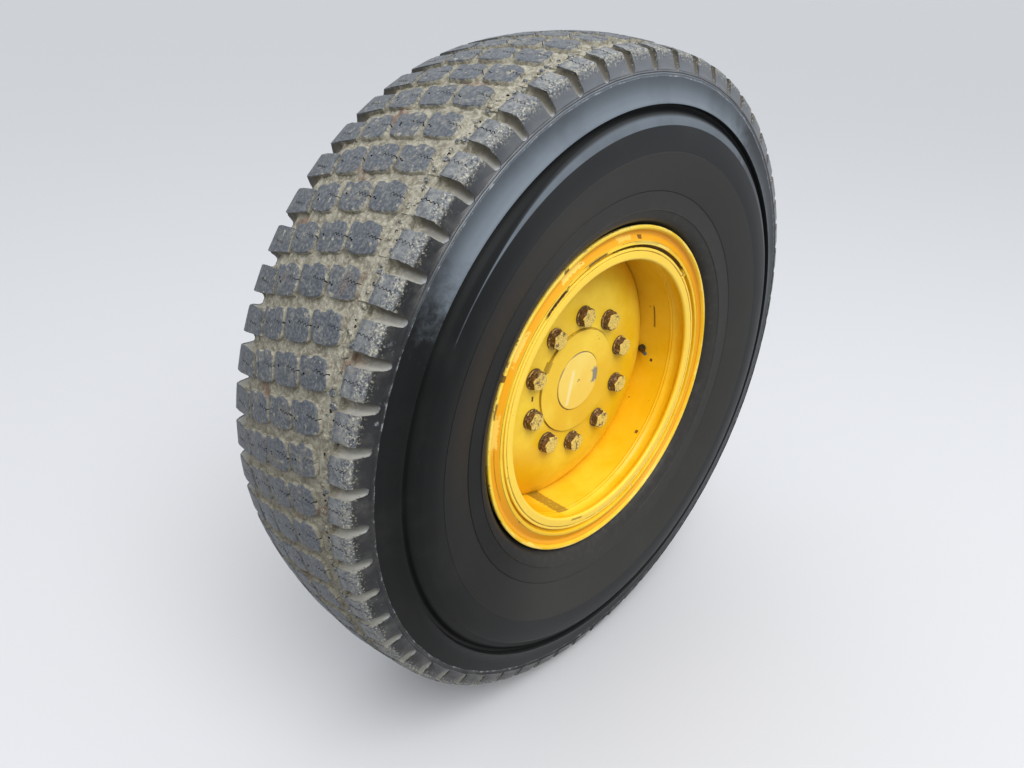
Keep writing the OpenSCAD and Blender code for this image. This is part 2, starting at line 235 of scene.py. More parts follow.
def turned(bm: Shape, steps: int, slices: int = 24) -> None:
    """Turns what is drawn all the way round the axle, in slices that are welded together.

    Args:
        bm: Holds the outline, which becomes the whole ring.
        steps: Number of faces round the axle, a multiple of slices.
        slices: Number of equal slices.
    """
    part = FULL_TURN / slices
    swung(bm, bm.verts[:] + bm.edges[:], part, steps // slices)
    mesh = bpy.data.meshes.new("slice")
    bm.to_mesh(mesh)
    for i in range(1, slices):
        rotated(bm, added(bm, mesh), i * part)
    bpy.data.meshes.remove(mesh)
    bmesh.ops.remove_doubles(bm, verts=bm.verts, dist=WELD)


def spun(
    name: str, corners: Sequence[Corner], middle: float, steps: int = 240, closed: bool = True
) -> Piece:
    """Turns an outline all the way round the axle.

    Args:
        name: Name of the piece.
        corners: Its outline.
        middle: Place of the wheel's middle plane.
        steps: Number of faces round the axle.
        closed: Whether the outline closes on itself or ends on the axle.

    Returns:
        The new object.
    """
    bm = bmesh.new()
    outline(bm, corners, closed)
    turned(bm, steps)
    return weighted(finished(bm, name, along=middle))


def spun_part(
    name: str, corners: Sequence[Corner], middle: float, first: float, last: float, steps: int
) -> Piece:
    """Turns an outline through part of a turn and closes both ends.

    Args:
        name: Name of the piece.
        corners: Its outline.
        middle: Place of the wheel's middle plane.
        first: Angle of one end from the top, in degrees.
        last: Angle of the other end.
        steps: Number of faces between the ends.

    Returns:
        The new object.
    """
    bm = bmesh.new()
    outline(bm, corners)
    start = bmesh.ops.contextual_create(bm, geom=bm.edges[:])["faces"]
    rotated(bm, bm.verts, math.radians(first))
    swung(bm, start, math.radians(last - first), steps)
    return weighted(finished(bm, name, along=middle))


def weighted(made: Piece) -> Piece:
    """Gives broad faces the say over the shading at their rounded edges."""
    made.modifiers.new("even_shading", "WEIGHTED_NORMAL").keep_sharp = True
    return made


def joined(name: str, parts: Sequence[Piece]) -> Piece:
    """Puts the meshes of several scratch objects, in metres, in one piece and drops the objects.

    Args:
        name: Name of the piece.
        parts: The objects, which are dropped.

    Returns:
        The new object.
    """
    bm = bmesh.new()
    for part in parts:
        bm.from_mesh(part.data)
        bpy.data.objects.remove(part)
    bmesh.ops.scale(bm, vec=(1 / MM,) * 3, verts=bm.verts)
    return finished(bm, name)


def carved(target: Piece, cutter: Piece, operation: str = "DIFFERENCE") -> Piece:
    """Cuts one scratch object with another, which is dropped.

    Args:
        target: What is cut.
        cutter: What it is cut with.
        operation: Name of the Boolean modifier's operation.

    Returns:
        The target with its new mesh.
    """
    modifier = target.modifiers.new("cut", "BOOLEAN")
    modifier.operation = operation
    modifier.solver = "EXACT"
    modifier.object = cutter
    seen = bpy.context.evaluated_depsgraph_get()
    mesh = bpy.data.meshes.new_from_object(target.evaluated_get(seen))
    target.modifiers.clear()
    target.data = mesh
    bpy.data.objects.remove(cutter)
    return target


def capsule(start: Vector, end: Vector, radius: float, end_radius: float) -> Shape:
    """A round bar with ball ends, which may narrow from one point to the other.

    Args:
        start: Centre of the first ball.
        end: Centre of the last ball.
        radius: Radius of the first ball.
        end_radius: Radius of the last ball.

    Returns:
        The bar.
    """
    bm = bmesh.new()
    bmesh.ops.create_uvsphere(bm, u_segments=28, v_segments=9, radius=radius)
    along = end - start
    upper = [v for v in bm.verts if v.co.z > 0]
    bmesh.ops.scale(bm, vec=(end_radius / radius,) * 3, verts=upper)
    bmesh.ops.translate(bm, vec=(0, 0, along.length), verts=upper)
    turn = along.to_track_quat("Z", "Y").to_matrix()
    bmesh.ops.rotate(bm, cent=(0, 0, 0), matrix=turn, verts=bm.verts)
    bmesh.ops.translate(bm, vec=start, verts=bm.verts)
    return bm


def waves(co: Vector, shift: Vector, *pairs: Spot) -> float:
    """Sum of noise at a point, for pairs of its rate per millimetre and its height."""
    return sum(noise.noise(co * rate + shift) * height for rate, height in pairs)


def prism(points: Sequence[Spot], low: float, high: float) -> Shape:
    """A flat outline, raised from one height to another.

    Args:
        points: Its corners in order.
        low: Height of one end.
        high: Height of the other end.

    Returns:
        The solid.
    """
    bm = bmesh.new()
    face = bm.faces.new([bm.verts.new((x, y, low)) for x, y in points])
    swept(bm, [face], (0, 0, high - low))
    return bm


# Shading


class Value:
    """A number or colour that changes over the surface, with the usual sums."""

    def __init__(self, graph: "Graph", socket: bpy.types.NodeSocket) -> None:
        """Keeps the socket and the graph that it is in."""
        self.graph = graph
        self.socket = socket

    def __add__(self, other: object) -> "Value":
        """This and the other together."""
        return self.graph.math("ADD", self, other)

    def __sub__(self, other: object) -> "Value":
        """This less the other."""
        return self.graph.math("SUBTRACT", self, other)

    def __rsub__(self, other: float) -> "Value":
        """A plain number less this."""
        return self.graph.math("SUBTRACT", other, self)

    def __mul__(self, other: object) -> "Value":
        """This times the other."""
        return self.graph.math("MULTIPLY", self, other)

    def __or__(self, other: object) -> "Value":
        """The greater of the two, so where either of two masks is."""
        return self.graph.math("MAXIMUM", self, other)

    def __abs__(self) -> "Value":
        """This without its sign."""
        return self.graph.math("ABSOLUTE", self)

    def ramp(self, slope: object, base: object) -> "Value":
        """This times slope, plus base."""
        return self.graph.math("MULTIPLY_ADD", self, slope, base)

    def step(self, low: object, high: object) -> "Value":
        """0 below low, 1 above high and smooth between them."""
        settings = {"interpolation_type": "SMOOTHSTEP"}
        return self.graph.value("MapRange", 0, settings, Value=self, From_Min=low, From_Max=high)


class Graph:
    """A node tree with short ways to add and join nodes."""

    def __init__(self, tree: bpy.types.NodeTree) -> None:
        """Takes the tree in which nodes are made."""
        self.tree = tree

    def node(self, kind: str, settings: dict | None = None, **values: object) -> bpy.types.Node:
        """Adds a node.

        Args:
            kind: Type name without the ShaderNode in front.
            settings: Properties of the node itself.
            **values: Input name with _ for a space, or i and its number; a Value is linked.

        Returns:
            The new node.
        """
        made = self.tree.nodes.new("ShaderNode" + kind)
        for key, value in (settings or {}).items():
            setattr(made, key, value)
        for key, value in values.items():
            numbered = key[0] == "i" and key[1:].isdigit()
            socket = made.inputs[int(key[1:]) if numbered else key.replace("_", " ")]
            if isinstance(value, Value):
                self.tree.links.new(value.socket, socket)
            else:
                socket.default_value = value
        return made

    def value(
        self, kind: str, output: int | str = 0, settings: dict | None = None, **values: object
    ) -> Value:
        """Adds a node, as node does, and returns one of its outputs."""
        return Value(self, self.node(kind, settings, **values).outputs[output])

    def values(self, kind: str, settings: dict | None = None, **values: object) -> list[Value]:
        """Adds a node, as node does, and returns all its outputs."""
        return [Value(self, socket) for socket in self.node(kind, settings, **values).outputs]

    def math(self, operation: str, a: object, b: object = 0.0, c: object = 0.0) -> Value:
        """One sum on numbers."""
        return self.value("Math", 0, {"operation": operation}, i0=a, i1=b, i2=c)

    def blend(self, factor: object, a: object, b: object) -> Value:
        """A mix of two colours."""
        a, b = ((*c, 1.0) if isinstance(c, tuple) else c for c in (a, b))
        return self.value("Mix", 2, {"data_type": "RGBA"}, i0=factor, i6=a, i7=b)

    def where(self) -> Value:
        """The point in the piece's own coordinates, in metres."""
        return self.value("TexCoord", "Object")

    def noise(self, scale: object, detail: object = 3.0, rough: float = 0.55) -> Value:
        """Noise from 0 to 1 in the piece's own coordinates."""
        settled = {"Vector": self.where(), "Scale": scale, "Detail": detail, "Roughness": rough}
        return self.value("TexNoise", "Fac", **settled)

    def place(self) -> list[Value]:
        """Radius, place along the axle and angle of a point on the wheel."""
        return self.values("Group", {"node_tree": PLACE})

    def mask(self, tree: bpy.types.NodeTree, **values: object) -> Value:
        """Places a shared group with its own numbers and returns its output."""
        return self.value("Group", 0, {"node_tree": tree}, **values)

    def speckle(self, scale: float, detail: float, low: float, high: float) -> Value:
        """Patches of noise between two levels."""
        return self.mask(SPECKLE, Scale=scale, Detail=detail, Low=low, High=high)

    def arc(self, angle: Value, centre: float, low: float, high: float) -> Value:
        """The part of the wheel round one angle, between two cosines of the distance."""
        return self.mask(ARC, Angle=angle, Centre=centre, Low=low, High=high)

    def relief(self, scale: float, strength: float, depth: float) -> Value:
        """Fine bump of one grain size, as a normal."""
        return self.mask(RELIEF, Scale=scale, Strength=strength, Depth=depth)

    def shade(self, **sockets: object) -> None:
        """Ends the material with a shader, whose inputs are named as in node."""
        shader = self.value("BsdfPrincipled", 0, **sockets)
        self.node("OutputMaterial", None, Surface=shader)


Given = dict[str, Value]


def shared_group(
    name: str, inputs: dict[str, float], outputs: Sequence[str],
    build: Callable[[Graph, Given], Sequence[Value]], kind: str = "NodeSocketFloat",
) -> bpy.types.NodeTree:
    """Makes a node group that several materials use.

    Args:
        name: Name of the group.
        inputs: Its number inputs and what they are unless set.
        outputs: Its outputs.
        build: Makes the nodes from the inputs and returns what each output gives.
        kind: Socket type of the outputs.

    Returns:
        The group.
    """
    tree = bpy.data.node_groups.new(name, "ShaderNodeTree")
    for key, value in inputs.items():
        socket = tree.interface.new_socket(name=key, in_out="INPUT", socket_type="NodeSocketFloat")
        socket.default_value = value
    for key in outputs:
        tree.interface.new_socket(name=key, in_out="OUTPUT", socket_type=kind)
    g = Graph(tree)
    start = tree.nodes.new("NodeGroupInput")
    end = tree.nodes.new("NodeGroupOutput")
    given = {key: Value(g, start.outputs[key]) for key in inputs}
    for key, value in zip(outputs, build(g, given)):
        tree.links.new(value.socket, end.inputs[key])
    return tree


def build_place(g: Graph, given: Given) -> Sequence[Value]:
    """Radius and place along the axle in millimetres, and angle from the top in degrees.

    Args:
        g: The group's graph.
        given: Its inputs.

    Returns:
        What its outputs give.
    """
    x, y, z = g.values("SeparateXYZ", None, Vector=g.where())
    radius = g.math("SQRT", x * x + z * z)
    angle = g.math("DEGREES", g.math("ARCTAN2", x, z))
    return radius * (1 / MM), (y - given["Middle"]) * (1 / MM), angle


def build_speckle(g: Graph, given: Given) -> Sequence[Value]:
    """Patches of noise between two levels."""
    return [g.noise(given["Scale"], given["Detail"], 0.6).step(given["Low"], given["High"])]


def build_patch(g: Graph, given: Given) -> Sequence[Value]:
    """A frayed patch round a point of two coordinates.

    Args:
        g: The group's graph.
        given: Its inputs.

    Returns:
        What its output gives.
    """
    far = [
        g.math("DIVIDE", abs(given[axis] - given[axis + " centre"]), given[axis + " half"])
        for axis in ("U", "V")
    ]
    fray = (g.noise(130.0, 4.0, 0.65) - 0.5) * given["Fray"]
    return [1.0 - ((far[0] | far[1]) + fray).step(0.85, 1.15)]


def build_arc(g: Graph, given: Given) -> Sequence[Value]:
    """The part of the wheel that lies round one angle, with soft ends."""
    off = g.math("RADIANS", given["Angle"] - given["Centre"])
    return [g.math("COSINE", off).step(given["Low"], given["High"])]


def build_relief(g: Graph, given: Given) -> Sequence[Value]:
    """Fine bump of one grain size."""
    height = g.noise(given["Scale"], 4.0, 0.6)
    return [g.value("Bump", 0, Strength=given["Strength"], Distance=given["Depth"], Height=height)]


PLACE = shared_group("wheel_place", {"Middle": -0.226}, ("Radius", "Along", "Angle"), build_place)
SPECKLE = shared_group(
    "speckle", {"Scale": 20.0, "Detail": 4.0, "Low": 0.5, "High": 0.6}, ("Mask",), build_speckle
)
PATCH = shared_group(
    "frayed_patch",
    {"U": 0.0, "V": 0.0, "U centre": 0.0, "V centre": 0.0, "U half": 1.0, "V half": 1.0, "Fray": 1.0},
    ("Mask",), build_patch,
)
ARC = shared_group(
    "arc_of_the_wheel", {"Angle": 0.0, "Centre": 0.0, "Low": 0.6, "High": 0.8}, ("Mask",), build_arc
)
RELIEF = shared_group(
    "fine_relief", {"Scale": 400.0, "Strength": 0.3, "Depth": 0.001}, ("Normal",), build_relief,
    "NodeSocketVector",
)


def new_material(name: str) -> tuple[Material, Graph]:
    """An empty material with its graph.

    Args:
        name: Name of the material.

    Returns:
        The material and its graph.
    """
    made = bpy.data.materials.new(name)
    made.use_nodes = True
    made.node_tree.nodes.clear()
    return made, Graph(made.node_tree)


@dataclass(frozen=True)
class TreadFinish:
    """Worn tread rubber: slate lugs, mud in the grooves and a black, glossy shoulder, with painted sheen,
    highlights, light and shade.
    """

    rubber: Colour = (0.052, 0.060, 0.072)
    scuffed: Colour = (0.132, 0.140, 0.148)
    dusty: Colour = (0.300, 0.300, 0.285)
    shoulder: Colour = (0.012, 0.012, 0.013)
    mud: Colour = (0.285, 0.268, 0.212)
    pale_mud: Colour = (0.47, 0.44, 0.35)
    damp_mud_and_shade: Colour = (0.150, 0.135, 0.100)
    brown_mud: Colour = (0.15, 0.085, 0.055)
    film: Colour = (0.175, 0.172, 0.155)
    tip_highlight: Colour = (0.38, 0.405, 0.435)
    crumb: Colour = (0.45, 0.43, 0.33)
    sheen: Colour = (0.100, 0.108, 0.120)
    bloom_and_reflection: Colour = (0.125, 0.146, 0.170)
    trough_shade: Colour = (0.070, 0.058, 0.040)
    lit: Colour = (0.40, 0.39, 0.35)
    line: float = 606.0
    next_line: float = 609.4
    tread_r: float = 659.0
    tread_half: float = 158.0
    strip: Spot = (99.0, 122.0)
    trough_at: Spot = (0.95, 0.30)
    trough_pitch: float = 6.0

    def material(self) -> Material:
        """Builds the material, which reads the attribute sunk, in millimetres.

        Returns:
            The material.
        """
        made, g = new_material("worn_tread")
        radius, along, angle = g.place()
        across, outboard = abs(along), along.step(1.0, -1.0)
        sunk = g.value("Attribute", "Fac", {"attribute_name": "sunk"})
        broad, mid = g.noise(16.0), g.noise(75.0, 4.0, 0.65)
        fine, grit = g.noise(210.0, 4.0, 0.6), g.noise(300.0, 3.0, 0.6)
        half = self.tread_half
        low, high = self.strip
        ragged = (mid - 0.5) * 8.0
        edge_at = ragged.ramp(0.45, across)
        face = edge_at.step(half + 1.2, half + 3.6)
        caked = (sunk + ragged).step(1.0, 3.4)
        edge = across.step(half - 16.0, half - 1.0) * outboard * 0.115
        crumbs = (mid + edge).step(0.60, 0.66)
        smear = g.speckle(34.0, 6.0, 0.52, 0.72) * 0.40 | crumbs * 0.8
        cover = caked | smear * (1.0 - face)
        # Rubber of the tops, and of the face that looks outwards, which has a painted sheen round the top,
        # bloom with a painted reflection at its foot and painted shade in two grooves
        rubber = g.blend(fine.step(0.38, 0.70), self.rubber, self.scuffed)
        dusted = across.step(high + 2.0, high + 8.0) * mid.step(0.25, 0.85) * outboard
        rubber = g.blend(dusted * 0.75, rubber, self.dusty)
        # Painted sheen: the black face turns grey-blue round the top of the wheel
        wall = g.blend(g.arc(angle, 14.0, 0.42, 0.93), self.shoulder, self.sheen)
        # Bloom and a painted reflection on the foot of the face, near the top of the wheel
        foot = radius.step(self.line + 1.0, self.line - 1.0) * g.arc(angle, -9.0, 0.58, 0.84)
        wall = g.blend(foot * 0.6, wall, self.bloom_and_reflection)
        # Painted shade along two small grooves of the face
        for line in (self.line, self.next_line):
            wall = g.blend(abs(radius - line).step(1.3, 0.4) * 0.7, wall, self.shoulder)
        wall = g.blend(g.speckle(26.0, 6.0, 0.42, 0.72) * 0.22, wall, self.film)
        rubber = g.blend(face, rubber, wall)
        # Mud in the grooves, thinner towards the ends of the troughs, with a painted highlight that makes
        # their tips pale and bluish
        mud = g.blend(mid.step(0.36, 0.60), self.damp_mud_and_shade, self.mud)
        mud = g.blend(fine.step(0.48, 0.70) * 0.6, mud, self.pale_mud)
        mud = g.blend(fine.step(0.44, 0.34) * 0.45, mud, self.damp_mud_and_shade)
        mud = g.blend(broad.step(0.60, 0.68) * 0.75, mud, self.brown_mud)
        # Painted shade: the mud is darker towards the lower left of the wheel
        mud = g.blend(g.arc(angle, -125.0, 0.45, 0.9) * 0.40, mud, self.damp_mud_and_shade)
        trough = across.step(half - 34.0, half) * 0.9
        mud = g.blend(trough, mud, self.film)
        # Painted highlight: pale bluish grey at the tips of the troughs
        mud = g.blend(across.step(half + 1.0, half + 12.0) * mid.step(0.30, 0.60), mud, self.tip_highlight)
        # Painted shade on one wall of each trough and painted light on the other
        off = self.trough_offset(g, along, angle)
        deep = sunk.step(0.5, 3.0) * across.step(high, high + 14.0)
        mud = g.blend(deep * (off.step(1.0, 8.0) * 0.75), mud, self.trough_shade)
        mud = g.blend(deep * (off.step(-3.0, -9.0) * 0.5), mud, self.lit)
        colour = g.blend(cover, rubber, mud)
        # Crumbled rubber in the strip and along the lugs' outer ends
        worn = across.step(low - 2.0, low + 1.0) * across.step(high + 3.0, high - 1.0)
        rim = across.step(half - 20.0, half - 5.0) * edge_at.step(half + 7.0, half + 2.0)
        worn = (worn | rim) * sunk.step(7.0, 3.0) * outboard
        colour = g.blend(worn * grit.step(0.55, 0.64) * 0.75, colour, self.crumb)
        colour = g.blend(worn * grit.step(0.43, 0.37) * 0.8, colour, self.shoulder)
        smooth = 1.0 - (face | trough * cover)
        height = cover.ramp(mid * 1.6, fine * 0.45) * smooth.ramp(0.85, 0.15)
        bump = g.value("Bump", 0, Strength=0.46, Distance=0.003, Height=height)
        rough = cover.ramp(0.34, 0.50) - (1.0 - smooth) * 0.20
        g.shade(Base_Color=colour, Normal=bump, Roughness=rough, Specular_IOR_Level=0.36)
        return made

    def trough_offset(self, g: Graph, along: Value, angle: Value) -> Value:
        """How far a point lies from the axis of its trough, round the tyre.

        Args:
            g: The material's graph.
            along: Place along the axle in millimetres.
            angle: Angle from the top in degrees.

        Returns:
            The distance in millimetres, greater than 0 on one side.
        """
        middle, apart = self.trough_at
        per_mm = 360.0 / (FULL_TURN * self.tread_r)
        lean = (abs(along) - 80.0).ramp(0.114, -7.5)
        axis = g.math("SIGN", along).ramp(lean.ramp(-per_mm, apart), middle)
        share = g.math("FRACT", (angle - axis) * (1 / self.trough_pitch) + 0.5) - 0.5
        return share * (self.trough_pitch / per_mm)


@dataclass(frozen=True)
class CrackFinish:
    """Dark rubber down in sipes and small holes."""

    rubber: Colour = (0.010, 0.010, 0.011)
    grit: Colour = (0.4, 0.38, 0.3)

    def material(self) -> Material:
        """Builds the material.

        Returns:
            The material.
        """
        made, g = new_material("deep_crack")
        gritty = g.speckle(420.0, 2.0, 0.62, 0.68) * 0.5
        g.shade(Base_Color=g.blend(gritty, self.rubber, self.grit), Roughness=0.9)
        return made


@dataclass(frozen=True)
class SidewallFinish:
    """Black sidewall rubber: grey bloom and a painted sky reflection on the flared band, brownish round the
    bead, painted shade at the left.
    """

    rubber: Colour = (0.0205, 0.0215, 0.0225)
    bloom_and_reflection: Colour = (0.140, 0.163, 0.188)
    bead: Colour = (0.0325, 0.0310, 0.0285)
    dust: Colour = (0.075, 0.074, 0.070)
    shade: Colour = (0.0035, 0.0037, 0.0035)
    band: Spot = (557.6, 603.0)
    lip: Spot = (524.0, 542.5)
    zone: float = 479.7
    reflection_angle: float = -9.0

    def material(self) -> Material:
        """Builds the material.

        Returns:
            The material.
        """
        made, g = new_material("sidewall_rubber")
        radius, _, angle = g.place()
        inner, outer = self.band
        low, high = self.lip
        # Grey bloom and a painted sky reflection: the flared band, and the lip, which is broader near the
        # top
        band = radius.step(inner - 0.4, inner + 0.4) * radius.step(outer, outer - 2.0)
        band = band * radius.step(568.0, 600.0).ramp(-0.55, 1.06)
        grown = g.arc(angle, 14.0, 0.40, 0.97)
        reach = grown.ramp(high - low - 2.0, low + 2.0)
        soft = grown.ramp(-6.0, reach - 1.0)
        thin = radius.step(low - 0.7, low + 0.7) * radius.step(reach, soft)
        bloom_and_reflection_mask = (band | thin * 0.85) * g.speckle(7.0, 5.0, 0.30, 0.62).ramp(0.30, 0.70)
        # The painted reflection is brightest round the top of the wheel and weak at the right
        swept_angle = angle + (g.noise(34.0, 6.0, 0.7) - 0.5) * 22.0
        upper = g.arc(swept_angle, self.reflection_angle, 0.60, 0.80)
        bloom_and_reflection_mask = bloom_and_reflection_mask * (upper | g.arc(angle, 85.0, 0.1, 0.8) * 0.32)
        # Rubber: brownish at the bead, greyer towards the right and the bottom, with painted shade at the
        # left and in the gutter
        colour = g.blend(radius.step(self.zone + 0.5, self.zone - 0.5), self.rubber, self.bead)
        # Painted sky reflection: a faint grey tint round the upper right
        colour = g.blend(g.arc(angle, 30.0, 0.2, 1.0) * 0.02, colour, self.bloom_and_reflection)
        for centre in (100.0, -158.0):
            colour = g.blend(g.arc(angle, centre, 0.25, 1.0) * 0.085, colour, self.dust)
        near = radius.step(410.0, 350.0) * g.speckle(60.0, 6.0, 0.46, 0.74)
        colour = g.blend(near * 0.35, colour, self.dust)
        # Painted shade: near black at the left of the wheel and in the gutter between the lip and the band
        left = g.arc(angle, -92.0, 0.40, 0.95)
        gutter = radius.step(reach, reach + 3.0) * radius.step(inner, inner - 1.5)
        gutter = gutter * left.ramp(-0.85, 1.0)
        colour = g.blend(gutter * 0.75, colour, self.shade)
        colour = g.blend(left * 0.80, colour, self.shade)
        colour = g.blend(bloom_and_reflection_mask, colour, self.bloom_and_reflection)
        dusty = g.speckle(9.0, 6.0, 0.45, 0.85)
        cover = dusty * 0.16 | g.speckle(300.0, 2.0, 0.735, 0.77) * 0.55
        cover = cover * gutter.ramp(-0.8, 1.0)
        rough = gutter.ramp(0.22, dusty.ramp(0.14, 0.40) - bloom_and_reflection_mask * 0.06)
        g.shade(Base_Color=g.blend(cover, colour, self.dust), Normal=g.relief(700.0, 0.14, 0.0006),
                Roughness=rough, Specular_IOR_Level=0.10)
        return made


@dataclass(frozen=True)
class Mark:
    """A stain, chip, streak or line of painted shade on the rim: where it is, how long and how broad."""

    angle: float
    half_angle: float
    across: float
    half_across: float
    strength: float = 1.0
    on_radius: bool = True
    fray: float = 1.0

    def mask(self, g: Graph, radius: Value, along: Value, angle: Value) -> Value:
        """Where it lies, from 0 to its strength."""
        return g.mask(
            PATCH, U=angle, V=radius if self.on_radius else along,
            U_centre=self.angle, U_half=self.half_angle,
            V_centre=self.across, V_half=self.half_across, Fray=self.fray,
        ) * self.strength


@dataclass(frozen=True)
class EnamelFinish:
    """Yellow enamel with faded patches, chips and rust, and painted light, shade and highlights."""

    name: str
    enamel: Colour = (0.83, 0.470, 0.004)
    faded_and_lit: Colour = (0.94, 0.64, 0.045)
    ochre: Colour = (0.66, 0.43, 0.07)
    rust: Colour = (0.16, 0.060, 0.022)
    primer: Colour = (0.38, 0.36, 0.30)
    wear_and_highlight: Colour = (0.95, 0.71, 0.15)
    dirt_and_shade: Colour = (0.10, 0.042, 0.012)
    glint: Colour = (0.97, 0.88, 0.52)
    shaded_orange: Colour = (0.80, 0.345, 0.001)
    pale_face: Colour = (0.97, 0.67, 0.085)
    chip_share: float = 0.70
    roughness: float = 0.34
    edge_radius: float = 0.0
    marks: tuple[Mark, ...] = ()
    rubbed: tuple[Mark, ...] = ()
    rings: tuple[Corner, ...] = ()
    streak: bool = False
    streak_lean: float = -0.22
    streak_at: Spot = (-0.024, -0.008)
    streak_half: Spot = (0.0052, 0.038)
    shaded_orange_zone: Spot = (0.0, 0.0)
    pale_zone: Spot = (0.0, 0.0)
    front: float = -140.5

    def material(self) -> Material:
        """Builds the material.

        Returns:
            The material.
        """
        made, g = new_material(self.name)
        place = g.place()
        radius, along, angle = place
        # Faded patches, and painted light: the paint is lighter towards the upper left of the wheel
        fade_and_light = g.noise(5.0, 5.0, 0.62).step(0.38, 0.68) * 0.75
        fade_and_light = g.math("MINIMUM", 1.0, g.arc(angle, -48.0, -0.3, 0.9).ramp(0.45, fade_and_light))
        colour = g.blend(fade_and_light, self.enamel, self.faded_and_lit)
        # Painted shade: the concave zone is a darker, deeper orange
        low, high = self.shaded_orange_zone
        if high > 0:
            zone = radius.step(low - 0.7, low + 0.7) * radius.step(high + 2.0, high - 1.0)
            colour = g.blend(zone * 0.95, colour, self.shaded_orange)
        low, high = self.pale_zone
        if high > 0:
            zone = radius.step(low - 0.7, low + 0.7) * radius.step(high + 0.7, high - 0.7)
            zone = zone * along.step(self.front + 1.5, self.front - 1.5)
            colour = g.blend(zone * 0.7, colour, self.pale_face)
        colour = g.blend(g.noise(240.0, 4.0).step(0.5, 0.8) * 0.20, colour, self.ochre)
        worn = g.speckle(95.0, 5.0, self.chip_share, self.chip_share + 0.02)
        # Worn paint and a painted highlight: a pale band along the flange's outer edge
        edge = self.edge_radius
        if edge > 0:
            fray = (g.noise(14.0, 6.0, 0.7) - 0.42) * 34.0
            wear_and_highlight = (radius + fray).step(edge + 3.0, edge + 4.0)
            colour = g.blend(wear_and_highlight * 0.70, colour, self.wear_and_highlight)
            worn = worn | radius.step(edge + 1.5, edge + 5.0) * g.speckle(85.0, 6.0, 0.56, 0.60)
        under = g.blend(g.noise(45.0).step(0.45, 0.6), self.rust, self.primer)
        colour = g.blend(worn, colour, under)
        for mark in self.rubbed:
            colour = g.blend(mark.mask(g, *place), colour, self.wear_and_highlight)
        stains_and_shade: object = 0.0
        for mark in self.marks:
            stains_and_shade = g.math("MAXIMUM", stains_and_shade, mark.mask(g, *place))
        broken = g.noise(22.0, 4.0).step(0.36, 0.60).ramp(0.6, 0.4)
        # Dark lines round the rings: joints, and painted shade along creases and under edges
        for ring, half, share in self.rings:
            line = abs(radius - ring).step(half + 0.4, half * 0.3) * broken
            stains_and_shade = g.math("MAXIMUM", stains_and_shade, line * share)
        # A painted glint: a pale streak across the cap
        if self.streak:
            x, _, z = g.values("SeparateXYZ", None, Vector=g.where())
            (u, v), (half_u, half_v) = self.streak_at, self.streak_half
            light = g.mask(
                PATCH, U=z.ramp(self.streak_lean, x), V=z, U_centre=u, U_half=half_u,
                V_centre=v, V_half=half_v, Fray=0.7,
            )
            colour = g.blend(light * 0.45, colour, self.glint)
        colour = g.blend(stains_and_shade, colour, self.dirt_and_shade)
        rough = fade_and_light.ramp(0.14, self.roughness) + (worn | stains_and_shade) * 0.35
        g.shade(Base_Color=colour, Normal=g.relief(190.0, 0.12, 0.001), Roughness=rough,
                Specular_IOR_Level=0.30)
        return made


@dataclass(frozen=True)
class BoltFinish:
    """Rusty steel with yellow paint left on the outward faces."""

    name: str
    paint: Colour = (0.84, 0.60, 0.12)
    rust: Colour = (0.095, 0.030, 0.014)
    dust: Colour = (0.52, 0.33, 0.23)
    dark: Colour = (0.035, 0.018, 0.012)
    grime: Colour = (0.25, 0.14, 0.035)
    paint_from: float = 0.5

    def material(self) -> Material:
        """Builds the material.

        Returns:
            The material.
        """
        made, g = new_material(self.name)
        blotch = g.noise(110.0, 4.0)
        colour = g.blend(blotch.step(0.40, 0.62), self.dark, self.rust)
        # Pinkish specks: dust, and small painted highlights on the rust
        colour = g.blend(g.speckle(120.0, 4.0, 0.56, 0.64) * 0.65, colour, self.dust)
        normal = g.values("SeparateXYZ", None, Vector=g.value("NewGeometry", "Normal"))
        left = normal[1] * -1.0 + (blotch - 0.5) * 2.2
        colour = g.blend(left.step(self.paint_from, self.paint_from + 0.25), colour, self.paint)
        colour = g.blend(g.noise(500.0).step(0.50, 0.58) * 0.75, colour, self.grime)
        g.shade(Base_Color=colour, Roughness=0.50, Normal=g.relief(420.0, 0.45, 0.001))
        return made


@dataclass(frozen=True)
class SteelFinish:
    """Machined steel with a film of oil."""

    name: str
    steel: Colour = (0.42, 0.42, 0.43)
    stain: Colour = (0.20, 0.17, 0.13)
    polish: float = 0.28

    def material(self) -> Material:
        """Builds the material.

        Returns:
            The material.
        """
        made, g = new_material(self.name)
        film = g.speckle(30.0, 5.0, 0.45, 0.75)
        g.shade(Base_Color=g.blend(film, self.steel, self.stain), Metallic=1.0,
                Roughness=film.ramp(0.25, self.polish), Normal=g.relief(900.0, 0.1, 0.0004))
        return made


def dress(made: Piece, materials: Sequence[Material], slot: Slot, body: Body, *nodes: str) -> None:
    """Gives a piece its finish and body.

    Args:
        made: The piece.
        materials: Its materials, in the order of its faces' material indices.
        slot: Not used.
        body: The body that it rides on.
        *nodes: The CAD nodes that it stands for.
    """
    indices = [min(face.material_index, len(materials) - 1) for face in made.data.polygons]
    made.data.materials.clear()
    for material in materials:
        made.data.materials.append(material)
    made.data.polygons.foreach_set("material_index", indices)
    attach(made, body.value)
    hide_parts(*nodes)
    LOG.info("%s: %d faces on %s", made.name, len(made.data.polygons), body.value)


# Tyre


